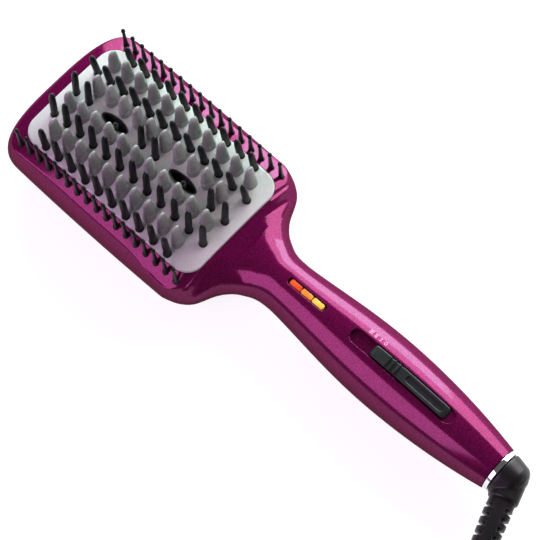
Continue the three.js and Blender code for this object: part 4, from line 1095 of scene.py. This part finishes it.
def rear_shell():
    """The back half: one sheet from edge to edge with six screw wells."""
    y = descending(body_stations(1.6))
    width = half_width(y)
    width[0] = FAR_TIP_HALF
    x = width[:, None] * np.sin(np.linspace(-np.pi / 2, np.pi / 2, 57))
    yy = np.broadcast_to(y[:, None], x.shape)
    points = np.stack([x, yy, np.minimum(body_bottom(x, yy), AXIS_Z - PARTING / 2)], -1)
    normals = -body_normals(body_bottom, x, yy)
    back = points - SHELL * normals
    back[..., 2] = np.minimum(back[..., 2], AXIS_Z - PARTING / 2)
    surface = Surface()
    outer = surface.add(points, normals)
    inner = surface.add(back, -normals)
    surface.skin(outer, flip=True)
    surface.skin(inner)
    rims = [np.concatenate([skin[:, -1], skin[-1, ::-1][1:], skin[::-1, 0][1:]]) for skin in (outer, inner)]
    surface.skin(np.array(rims))
    surface.skin(np.array([outer[0], inner[0]]))
    mesh = carved(surface.mesh("rear_shell"), (
        ("UNION", SCREW_BOSS_RADIUS, None, SCREW_WELL_Z + 1.8),
        ("DIFFERENCE", SCREW_WELL_RADIUS, -4.0, SCREW_WELL_Z),
        ("DIFFERENCE", SCREW_SHAFT_RADIUS, SCREW_WELL_Z - 1, SCREW_WELL_Z + 4),
    ))
    put("rear_shell", mesh, "berry_gloss", "rear_cover")


front_shell()
rear_shell()


# Heated plate and teeth
def row_y(row):
    return (LAST_ROW / 2 - row) * ROW_PITCH


def heating_plate():
    flat = PLATE_HALF_LENGTH - PLATE_CORNER
    arc = flat + (PLATE_CORNER - PLATE_EDGE) * np.sin(quarter_turn(14))
    outline = Opening(0.0, *(PLATE_SIZES - PLATE_EDGE))
    ends = outline.half_y - 1e-4
    ovals = [Oval(row_y(row), OUTLET_HALF_WIDTH, OUTLET_HALF_LENGTH, 0) for row in OUTLET_ROWS]
    round_ovals = [oval.stations(OUTLET_LIP) for oval in ovals]
    stations = np.concatenate([arc, -arc, np.arange(-flat, flat, 1.3)] + round_ovals)

    def width(y):
        return outline.half_at(np.clip(y, -ends, ends))

    surface = Surface()
    (right, left), rings = split_sheet(surface, stations, width, dome, ovals, 26, OUTLET_LIP)
    for ring, oval in zip(rings, ovals):
        lip(surface, ring, oval, OUTLET_LIP, PLATE_THICKNESS)
    border = np.concatenate([
        right[0], right[1:, -1], right[-1, ::-1][1:], left[-1, 1:], left[::-1, -1][1:], left[0, ::-1][1:-1],
    ])
    lip(surface, border, outline, PLATE_EDGE, PLATE_THICKNESS + 1.0, steps=5, outwards=True)
    put("plate", surface, "heated_coating", "heating_plate")


def tooth(surface, x, y):
    """A blade on an oval foot that ends in a small curved step; its ridge is rounded."""
    z = float(dome(x, y))
    foot = TOOTH_FOOT
    step, step_across, step_along = foot + 0.35, 0.905, 0.84
    levels = [
        (-0.6, 1.1, 1.13), (0.0, 1.03, 1.04), (0.3, 1.0, 1.0), (foot * 0.5, 0.995, 0.99),
        (foot - 0.3, 0.985, 0.97), (foot - 0.08, 0.97, 0.95), (foot + 0.08, 0.91, 0.85),
        (step, step_across, step_along),
    ]
    rings = [(h, TOOTH_ACROSS * a, TOOTH_ALONG * b, smooth(h / foot)) for h, a, b in levels]
    shoulder = TOOTH_HEIGHT - RIDGE_ROUND
    for t in np.linspace(0.1, 1, 10):
        across = mix(TOOTH_ACROSS * step_across, RIDGE_ACROSS, t ** 2.4)
        along = mix(TOOTH_ALONG * step_along, RIDGE_ALONG, t ** 1.7)
        rings.append((mix(step, shoulder, t), across, along, 1 - smooth(t * 1.6)))
    for turn in (0.3, 0.6, 0.9, 1.15, 1.35):
        keep = math.cos(turn) ** 0.8
        rings.append((shoulder + RIDGE_ROUND * math.sin(turn), RIDGE_ACROSS * keep, RIDGE_ALONG * keep, 0.0))
    turn = full_turn(28)
    dip = TOOTH_FOOT_DIP * (np.abs(np.cos(turn)) - 0.5)
    slant = RIDGE_SLANT * (np.cos(turn) - 1) / 2
    points = np.array([
        np.stack([
            x + a * signed_power(np.cos(turn), 0.85),
            y + b * signed_power(np.sin(turn), 0.9 if h < foot else 1.25),
            z + h + dip * share + slant * eased(h, foot, shoulder - foot) * a / TOOTH_ACROSS,
        ], 1)
        for h, a, b, share in rings
    ])
    index = surface.grid(points, flip=True, closed=True)
    surface.fan(index[-1], points[-1].mean(0) + UP * 0.05, UP)


def teeth():
    surface = Surface()
    for column, first, count in ((-1.5, 1, 10), (-0.5, 0.5, 11), (0.5, 1, 10), (1.5, 0.5, 11)):
        for i in range(count):
            tooth(surface, column * COLUMN_PITCH, row_y(first + i))
    put("plate_teeth", surface, "tooth_coating", slot="heated_coating")


# Pins and outlets
PIN_PROFILE = [
    (COLLAR_RADIUS, -3.2), (COLLAR_RADIUS, -0.5), (COLLAR_RADIUS + 0.2, -0.4),
    (COLLAR_RADIUS + 0.2, 0.3), (COLLAR_RADIUS + 0.05, 0.6), (PIN_RADIUS + 0.04, 0.9),
    (PIN_RADIUS, 1.8), (PIN_RADIUS * 0.99, 5.0), (PIN_RADIUS * 0.97, 10.0),
    (PIN_RADIUS * 0.93, 13.5), (PIN_RADIUS * 0.84, 15.6), (PIN_RADIUS * 0.69, 16.8),
    (PIN_RADIUS * 0.47, 17.45), (PIN_RADIUS * 0.22, 17.73), (0, PIN_HEIGHT),
]
SIDE_PIN_PROFILE = [
    (1.6, -1.0), (1.6, 0.15), (1.4, 0.35), (1.16, 0.6), (1.12, 2.2), (1.02, 5.0), (0.88, 8.5), (0.78, 11.0),
    (0.76, 12.2), (0.88, 12.7), (1.02, 13.3), (1.05, 13.8), (0.94, 14.4), (0.66, 14.85), (0.3, 14.98),
    (0, SIDE_PIN_HEIGHT),
]
COMBS = {
    "left_outer": (-2, range(1, 11)),
    "left_inner": (-1, range(0, 12)),
    "centre_far": (0, (0, 1)),
    "centre_middle": (0, (5, 6)),
    "centre_near": (0, (10, 11)),
    "right_inner": (1, range(0, 12)),
    "right_outer": (2, range(1, 11)),
}
CUP_PROFILE = [
    (0.3, -0.4), (0.28, 0.12), (0.1, 0.3), (-0.25, 0.3), (-0.45, 0.1), (-0.55, -0.8), (-0.95, -1.0),
    (-1.1, -1.3), (-1.15, -5.0),
]
RIM_PROFILE = [(0.22, -0.1), (0.28, 0.2), (0.46, 0.2), (0.57, 0.12), (0.54, -0.1), (0.22, -0.1)]
SOCKET_PROFILE = [(1.3, -5.0), (1.3, -1.75), (1.22, -1.6), (1.05, -1.6), (0.98, -1.75), (0.98, -5.0)]


def stand(x, y, z, lean=0.0):
    """Frame for an upright lathe; lean is how far a pin's tip stands across."""
    return axes((1, 0, 0), (0, 1, 0), (lean / PIN_HEIGHT, 0, 1), (x, y, z))


def bar(surface, x, y, top, height):
    """A strip under a row of pins; top gives its height at each station."""
    corners = [(-COMB_HALF, 0), (COMB_HALF, 0), (COMB_HALF, -height), (-COMB_HALF, -height)]
    points = np.stack([np.stack([np.full(len(y), x + dx), y, top + dz], 1) for dx, dz in corners], 1)
    index = surface.grid(points, closed=True)
    for i, side in ((0, 1), (-1, -1)):
        surface.fan(index[i], points[i].mean(0), [0, side, 0], flip=side < 0)


def pin_comb(name, column, rows):
    surface = Surface()
    x = column * COLUMN_PITCH
    for row in rows:
        y = row_y(row)
        lathe(PIN_PROFILE, 20, stand(x, y, float(dome(x, y)), PIN_LEAN[column]), surface)
    y = np.linspace(row_y(rows[0]) + COMB_OVERHANG, row_y(rows[-1]) - COMB_OVERHANG, 24)
    bar(surface, x, y, dome(abs(x) + COMB_HALF, y) - PLATE_THICKNESS - PLATE_GAP, COMB_HEIGHT)
    put("pins_" + name, surface, "pin_nylon", "pin_comb_" + name)


def side_pins(name, side):
    surface = Surface()
    x = side * SIDE_PIN_X
    reach = (SIDE_PIN_COUNT - 1) / 2 * SIDE_PIN_PITCH
    for i in range(SIDE_PIN_COUNT):
        y = reach - i * SIDE_PIN_PITCH
        z = float(body_top(x, y))
        lathe(SIDE_PIN_PROFILE, 18, stand(x, y, z), surface)
        lathe([(1.4, SIDE_STRIP_Z), (1.4, z - 0.6)], 12, stand(x, y, 0), surface)
    y = np.linspace(reach + SIDE_STRIP_OVERHANG, -reach - SIDE_STRIP_OVERHANG, 8)
    bar(surface, x, y, np.full(len(y), SIDE_STRIP_Z), SIDE_STRIP_HEIGHT)
    put(name + "_row", surface, "pin_nylon", name)


def outlet_rings(y, profile):
    """Oval rings from (growth, height over the plate) pairs."""
    turn = -full_turn(64)
    rings = []
    for grow, lift in profile:
        x = (OUTLET_HALF_WIDTH + grow) * np.cos(turn)
        yy = y + (OUTLET_HALF_LENGTH + grow) * np.sin(turn)
        rings.append(np.stack([x, yy, dome(x, yy) + lift], 1))
    return np.array(rings)


def ion_outlet(name, row):
    """An oval cup in the plate with a raised rim, a stepped wall and a dark well round the emitter."""
    y = row_y(row)
    z = float(dome(0.0, y))
    surface = Surface()
    index = surface.grid(outlet_rings(y, CUP_PROFILE), closed=True)
    surface.fan(index[-1], np.array([0, y, z - OUTLET_DEPTH]), UP, flip=True)
    put(name + "_cup", surface, "outlet_plastic", name)
    rim = Surface()
    rim.grid(outlet_rings(y, RIM_PROFILE), closed=True)
    lathe(SOCKET_PROFILE, 24, stand(0, y, z), rim)
    put(name + "_rim", rim, "outlet_rim", slot="outlet_plastic")


heating_plate()
teeth()
for comb_name, (comb_column, comb_rows) in COMBS.items():
    pin_comb(comb_name, comb_column, comb_rows)
side_pins("side_pins_left", -1)
side_pins("side_pins_right", 1)
ion_outlet("ion_outlet_far", OUTLET_ROWS[0])
ion_outlet("ion_outlet_near", OUTLET_ROWS[1])


# Window lenses
def lens_top(x, y):
    return body_top(x, y) - 0.45 - 0.03 * x ** 2


def lens_shape(centre_y, half_y, bottom, steps=7):
    """A rounded rectangle in plan with a rounded upper edge."""
    turn = quarter_turn(steps)
    angle = np.concatenate([turn + np.pi / 2 * i for i in range(4)])
    corner_x = (LENS_WIDTH / 2 - LENS_CORNER) * np.repeat([1, -1, -1, 1], steps)
    corner_y = (half_y - LENS_CORNER) * np.repeat([1, 1, -1, -1], steps)

    def ring(reach, share=1.0):
        x = (corner_x + reach * np.cos(angle)) * share
        return x, centre_y + (corner_y + reach * np.sin(angle)) * share

    x, y = ring(LENS_CORNER)
    rows = [(x, y, np.full(len(x), bottom))]
    for t in turn:
        x, y = ring(LENS_CORNER - LENS_EDGE * (1 - math.cos(t)))
        rows.append((x, y, lens_top(x, y) - LENS_EDGE * (1 - math.sin(t))))
    for share in (0.7, 0.4, 0.105):
        x, y = ring(LENS_CORNER - LENS_EDGE, share)
        rows.append((x, y, lens_top(x, y)))
    surface = Surface()
    index = surface.grid(np.stack([np.stack(row, 1) for row in rows]), flip=True, closed=True)
    surface.fan(index[-1], np.array([0.0, centre_y, float(lens_top(0.0, centre_y))]), UP)
    return surface


def lenses():
    for color in ("red", "orange", "yellow"):
        low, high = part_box("indicator_lens_" + color)
        shape = lens_shape((low.y + high.y) / 2 / MM, (high.y - low.y) / 2 / MM, low.z / MM)
        put("lens_" + color, shape, "lens_" + color, "indicator_lens_" + color)


# Slide switch
def knob_profile(front, rear):
    """Side view of the knob's top as (place, height) pairs: saddle, three grip grooves and front pad."""
    saddle = [(0, -3.0), (0.25, -2.2), (0.9, -1.6), (2.2, -1.2)]
    groove = [(-1.7, 0), (-1.35, -0.6), (-0.8, -0.85), (-0.3, -0.6), (0, 0)]
    pad = [(-8.4, 0), (-2.2, -0.4), (-0.9, -0.7), (-0.25, -1.3), (0, -2.0)]
    profile = [(rear + y, z) for y, z in saddle] + [(front - 19, -0.2)]
    for i in (2, 1, 0):
        profile += [(front - GROOVE_START - i * GROOVE_PITCH + y, z) for y, z in groove]
    profile += [(front + y, z) for y, z in pad]
    return np.array(profile) + [0, KNOB_TOP]


def knob():
    """Front pad, three grip grooves and a long saddle with a shallow channel, on a stem through the slot."""
    half_length = KNOB_LENGTH / 2
    front, rear = KNOB_Y + half_length, KNOB_Y - half_length
    low = RECESS_FLOOR + KNOB_GAP
    profile = knob_profile(front, rear)
    plan = Opening(KNOB_Y, KNOB_WIDTH / 2, half_length, KNOB_CORNER)
    channel_far, channel_near = front - 19.6, rear + 2.5
    channel = Opening(
        (channel_near + channel_far) / 2, CHANNEL_HALF, (channel_far - channel_near) / 2, CHANNEL_CORNER)
    y = descending(
        plan.stations(0, 8), profile[1:-1, 0], np.arange(rear + 3, front - 3, 0.5), channel.stations(0, 8))
    half = plan.half_at(np.clip(y, rear + 0.002, front - 0.002))
    height = np.interp(y, profile[:, 0], profile[:, 1])
    rim = [(KNOB_EDGE * (1 - math.cos(t)), KNOB_EDGE * (1 - math.sin(t))) for t in quarter_turn(6)]
    rows = []
    for yy, w, h in zip(y, half, height):
        side = [(w, low), (w, mix(low, h - KNOB_EDGE, 0.5))] + [(w - a, h - d) for a, d in rim]
        top = []
        for x in np.linspace(1, -1, 25)[1:-1] * (w - KNOB_EDGE):
            inside = float(channel.half_at(yy))
            sink = CHANNEL_DEPTH * float(smooth((inside - abs(x)) / 0.45 + 0.5)) if inside > 0 else 0.0
            top.append((x, h - sink))
        row = side + top + [(-x, z) for x, z in reversed(side)]
        rows.append([(x, yy, z) for x, z in row])
    points = np.array(rows)
    surface = Surface()
    surface.grid(points, flip=True)
    surface.skin(surface.add(points[:, [-1, 0]], -UP), flip=True)
    for i, side in ((0, 1), (-1, -1)):
        surface.cap(points[i], [0, side, 0.0], flip=side > 0)
    stem = STEM_HALF_WIDTH * np.array([1, -1, -1, 1]), STEM_Y + STEM_HALF_LENGTH * np.array([1, 1, -1, -1])
    surface.grid(np.array([np.stack([*stem, np.full(4, z)], 1) for z in (low + 0.4, STEM_LOW)]), closed=True)
    put("slide_knob", surface, "knob_plastic", "slider_knob", slot="black_plastic", body="switch_slider")


def mark_strip(surface, start, end, width):
    """One printed stroke laid on the body between two points of its plan."""
    start, end = np.array(start, float), np.array(end, float)
    along = unit(end - start)
    side = np.array([along[1], -along[0]]) * width / 2
    rows = []
    for t in np.linspace(0, 1, 6):
        at = start + (end - start) * t
        a, b = [np.array([*q, float(body_top(*q)) + MARK_LIFT]) for q in (at - side, at + side)]
        rows.append([a - UP * MARK_DEPTH, a, b, b - UP * MARK_DEPTH])
    surface.grid(np.array(rows))


def mark_ring(surface, centre, half_x, half_y, width):
    turn = full_turn(28)
    low = MARK_LIFT - MARK_DEPTH
    rows = []
    for grow, rise in ((width / 2, low), (width / 2, MARK_LIFT), (-width / 2, MARK_LIFT), (-width / 2, low)):
        x = centre[0] + (half_x + grow) * np.cos(turn)
        y = centre[1] + (half_y + grow) * np.sin(turn)
        rows.append(np.stack([x, y, body_top(x, y) + rise], 1))
    surface.grid(np.array(rows), flip=True, closed=True)


def marks():
    """III, II, I and 0 beside the slide; their upright strokes point to +X."""
    surface = Surface()
    ends = (MARK_X - MARK_HALF, MARK_X + MARK_HALF)
    for i, count in enumerate((3, 2, 1)):
        y = MARK_FIRST_Y - MARK_PITCH * i
        for j in range(count):
            at = y + (j - (count - 1) / 2) * MARK_GAP
            mark_strip(surface, (ends[0], at), (ends[1], at), MARK_STROKE)
        wide = (count - 1) / 2 * MARK_GAP + 0.42
        for x in ends:
            mark_strip(surface, (x, y - wide), (x, y + wide), 0.2)
    mark_ring(surface, (MARK_X, MARK_FIRST_Y - MARK_PITCH * 3), MARK_HALF - 0.1, 0.55, 0.3)
    put("switch_marks", surface, "mark_print", slot="berry_gloss")


lenses()
knob()
marks()


# Cord swivel
ALONG_HANDLE = axes((1, 0, 0), -UP, (0, 1, 0), (0, 0, AXIS_Z))
ALONG_CORD = axes(np.cross(UP, OUTWARD), UP, OUTWARD, BEND)
TRIM_NEAR = END - TRIM_GAP
TRIM_FAR = TRIM_NEAR - TRIM_LENGTH
SLEEVE = TRIM_FAR - TRIM_GAP


def swivel():
    """Sleeve, spigot and arm welded into one skin with eased creases."""
    surface = Surface()
    radius = END_RADIUS - 0.6
    far = BEND[1]
    sleeve = [
        (0, far - 6.8), (3.6, far - 6.4), (6.2, far - 5.2), (7.9, far - 3.6), (8.9, far - 1.8),
        (radius - 0.2, SLEEVE - 2.2), (radius, SLEEVE - 0.9), (radius, SLEEVE - 0.3), (radius - 0.3, SLEEVE),
        (0, SLEEVE),
    ]
    spigot = [
        (0, SLEEVE - 1), (5.2, SLEEVE - 1), (5.2, END + 12.2), (4.2, END + 12.2), (4.2, END + 13.8),
        (5.2, END + 13.8), (4.7, END + 16), (0, END + 16),
    ]
    arm = [
        (0, -8.6), (3.4, -8.4), (5.6, -7.2), (6.5, -5.8), (ARM_RADIUS, -4), (ARM_RADIUS, MOUTH - 0.8),
        (ARM_RADIUS - 0.5, MOUTH), (0, MOUTH),
    ]
    lathe(sleeve, 64, ALONG_HANDLE, surface)
    lathe(spigot, 40, ALONG_HANDLE, surface)
    lathe(arm, 64, ALONG_CORD, surface)
    thing = add_object("swivel_shape", raw_mesh("swivel_shape", surface.points, surface.faces))
    weld = thing.modifiers.new("weld", "REMESH")
    weld.mode = "VOXEL"
    weld.voxel_size = 0.32 * MM
    ease = thing.modifiers.new("ease", "SMOOTH")
    ease.iterations = 5
    ease.factor = 0.5
    put("swivel_elbow", baked(thing), "black_plastic", "cord_swivel", body="cord_swivel")


def strain_relief():
    """Tapered sleeve with ribs cut from both flanks and a smooth spine above and below."""
    first = MOUTH + 3.2
    pitch = (RELIEF_REACH - 7 - first) / RIB_COUNT
    s = descending(
        [MOUTH - 5.7, MOUTH - 0.5, MOUTH + 0.5, MOUTH + 2, RELIEF_REACH - 3],
        np.arange(first - 0.5, RELIEF_REACH - 5, 0.16),
        RELIEF_REACH - RELIEF_ROUND * (1 - np.sin(quarter_turn(6))),
    )[::-1]
    turn = full_turn(72)
    over = np.maximum(s - (RELIEF_REACH - RELIEF_ROUND), 0)
    radius = mix(RELIEF_RADIUS, RELIEF_TIP, eased(s, MOUTH, RELIEF_REACH - MOUTH))
    radius = radius - RELIEF_ROUND + np.sqrt(np.maximum(RELIEF_ROUND ** 2 - over ** 2, 0.0))
    phase = ((s - first) / pitch) % 1.0
    inside = (s > first) & (s < first + RIB_COUNT * pitch)
    cut = eased(phase, 0.04, 0.08) * eased(0.5 - phase, 0, 0.08) * inside
    flank = eased(np.abs(np.cos(turn)), 0.45, 0.12)
    reach = radius[:, None] + (RIB_RISE * (1 - cut) * inside - RIB_DEPTH * cut)[:, None] * flank
    along = np.broadcast_to(s[:, None], reach.shape)
    points = placed(np.stack([reach * np.cos(turn), reach * np.sin(turn), along], -1), ALONG_CORD)
    surface = Surface()
    surface.grid(points, flip=True, closed=True)
    for i, side in ((0, -1), (-1, 1)):
        surface.cap(points[i], side * OUTWARD, flip=side < 0)
    put("cord_relief", surface, "black_plastic", "strain_relief", body="cord_swivel")


def trim():
    inner, outer = 5.6, END_RADIUS - 0.3
    corners = [(inner, TRIM_FAR), (outer, TRIM_FAR), (outer, TRIM_NEAR), (inner, TRIM_NEAR)]
    profile = rounded(corners, 0.35)
    put("end_trim", lathe(profile + [profile[0]], 96, ALONG_HANDLE), "trim_chrome", "trim_ring")


swivel()
strain_relief()
trim()


# CAD nodes get their finish by the start of their name
NODE_FINISH = {
    "berry_gloss": ("front_housing", "rear_cover"),
    "heated_coating": ("heating_plate",),
    "pin_nylon": ("pin_comb", "side_pins", "switch_carriage"),
    "outlet_plastic": ("ion_outlet",),
    "black_plastic": (
        "ion_generator", "slide_switch", "end_collar", "cord_tie",
        "cord_swivel", "strain_relief", "plug_body",
    ),
    "knob_plastic": ("slider_knob",),
    "tray_plastic": ("heater_tray",),
    "heater_ceramic": ("ptc_heater", "temperature_sensor"),
    "steel": ("heater_clamp", "tray_screw", "body_screw", "thermal_fuse", "swivel_clip"),
    "brass": ("ion_emitter", "plug_pin"),
    "circuit_board": ("led_board", "control_board"),
    "trim_chrome": ("trim_ring",),
    "lead_red": ("emitter_lead", "heater_lead"),
    "lead_blue": ("mains_lead",),
    "cord_black": ("cord_run", "cord_coil", "cord_tail"),
    "lens_red": ("indicator_lens_red",),
    "lens_orange": ("indicator_lens_orange",),
    "lens_yellow": ("indicator_lens_yellow",),
}
for node_name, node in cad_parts.items():
    finish_name = next(finish for finish, starts in NODE_FINISH.items() if node_name.startswith(starts))
    node.data.materials.clear()
    node.data.materials.append(FINISH[finish_name])


# Floor, world and lamps
FLOOR_HALF = 4.0
FLOOR_GAP = 0.0003
FLOOR_GREY = (0.32, 0.32, 0.32)
FLOOR_GLOW = 0.84
ROOM_LOW = (0.35, 0.35, 0.35)
ROOM_HIGH = (0.11, 0.11, 0.11)
ROOM_RISE = 0.2
PLAIN_GREY = (0.22, 0.22, 0.22, 1)
SEEN = ("Is Camera Ray", "Is Glossy Ray", "Is Transmission Ray")
LIGHT_TARGET = Vector((0.0, -0.07, 0.02))
LAMP_DISTANCE = 1.2
LAMPS = {
    "right_box": {"azimuth": 77.0, "elevation": 24.0, "width": 2.4, "height": 1.0, "radiance": 5.0,
                  "color": (1.0, 0.82, 0.94)},
    "right_core": {"azimuth": 68.0, "elevation": 17.0, "width": 1.0, "height": 0.55, "radiance": 6.5,
                   "color": (0.2, 1.0, 0.7)},
    "left_box": {"azimuth": -75.0, "elevation": 36.0, "width": 1.05, "height": 0.95, "radiance": 2.7,
                 "color": (0.95, 0.55, 1.0)},
}


def seen_share(tree):
    """1 on the light paths that show the floor or the room, 0 on the rest."""
    path = add_node(tree, "LightPath")
    total = path.outputs[SEEN[0]]
    for kind in SEEN[1:]:
        total = add_node(tree, "Math", {0: total, 1: path.outputs[kind]}, operation="MAXIMUM").outputs[0]
    return total


def make_floor():
    material = bpy.data.materials.new("floor")
    material.use_nodes = True
    tree = material.node_tree
    tree.nodes.clear()
    diffuse = add_node(tree, "BsdfDiffuse", {"Color": (*FLOOR_GREY, 1)})
    level = add_node(tree, "Math", {0: seen_share(tree), 1: FLOOR_GLOW}, operation="MULTIPLY")
    glow = add_node(tree, "Emission", {"Strength": level.outputs[0]})
    both = add_node(tree, "AddShader", {0: diffuse.outputs[0], 1: glow.outputs[0]})
    add_node(tree, "OutputMaterial", {"Surface": both.outputs[0]})
    corners = [(x * FLOOR_HALF, y * FLOOR_HALF, 0) for x, y in ((-1, -1), (1, -1), (1, 1), (-1, 1))]
    mesh = bpy.data.meshes.new("floor")
    mesh.from_pydata(corners, [], [(0, 1, 2, 3)])
    mesh.materials.append(material)
    floor = add_object("floor", mesh)
    floor.location = (0, 0, cad_box[0][2] - FLOOR_GAP)


def make_world():
    """Plain light for matt surfaces; gloss reflects a grey room over the white floor."""
    world = bpy.data.worlds.new("studio")
    bpy.context.scene.world = world
    world.use_nodes = True
    tree = world.node_tree
    tree.nodes.clear()
    place = add_node(tree, "TexCoord").outputs["Generated"]
    height = add_node(tree, "SeparateXYZ", {0: place}).outputs["Z"]
    grey = add_ramp(tree, height, (0.0, ROOM_LOW), (ROOM_RISE, ROOM_HIGH))
    room = add_node(tree, "Background", {"Color": grey})
    plain = add_node(tree, "Background", {"Color": PLAIN_GREY})
    choose = add_node(tree, "MixShader", {0: seen_share(tree), 1: plain.outputs[0], 2: room.outputs[0]})
    add_node(tree, "OutputWorld", {"Surface": choose.outputs[0]})


def make_lamp(name, azimuth, elevation, width, height, radiance, color):
    """A soft box seen from the object at the given compass turn from +Y towards +X."""
    a, e = math.radians(azimuth), math.radians(elevation)
    way = Vector((math.sin(a) * math.cos(e), math.cos(a) * math.cos(e), math.sin(e)))
    data = bpy.data.lights.new(name, "AREA")
    data.shape = "RECTANGLE"
    data.size, data.size_y = width, height
    data.energy = radiance * 4 * width * height
    data.color = color
    facing = way.to_track_quat("Z", "Y").to_matrix().to_4x4()
    add_object(name, data).matrix_world = Matrix.Translation(LIGHT_TARGET + way * LAMP_DISTANCE) @ facing


make_floor()
make_world()
for lamp_name, lamp_values in LAMPS.items():
    make_lamp(lamp_name, **lamp_values)
bpy.context.scene.view_settings.view_transform = "Standard"
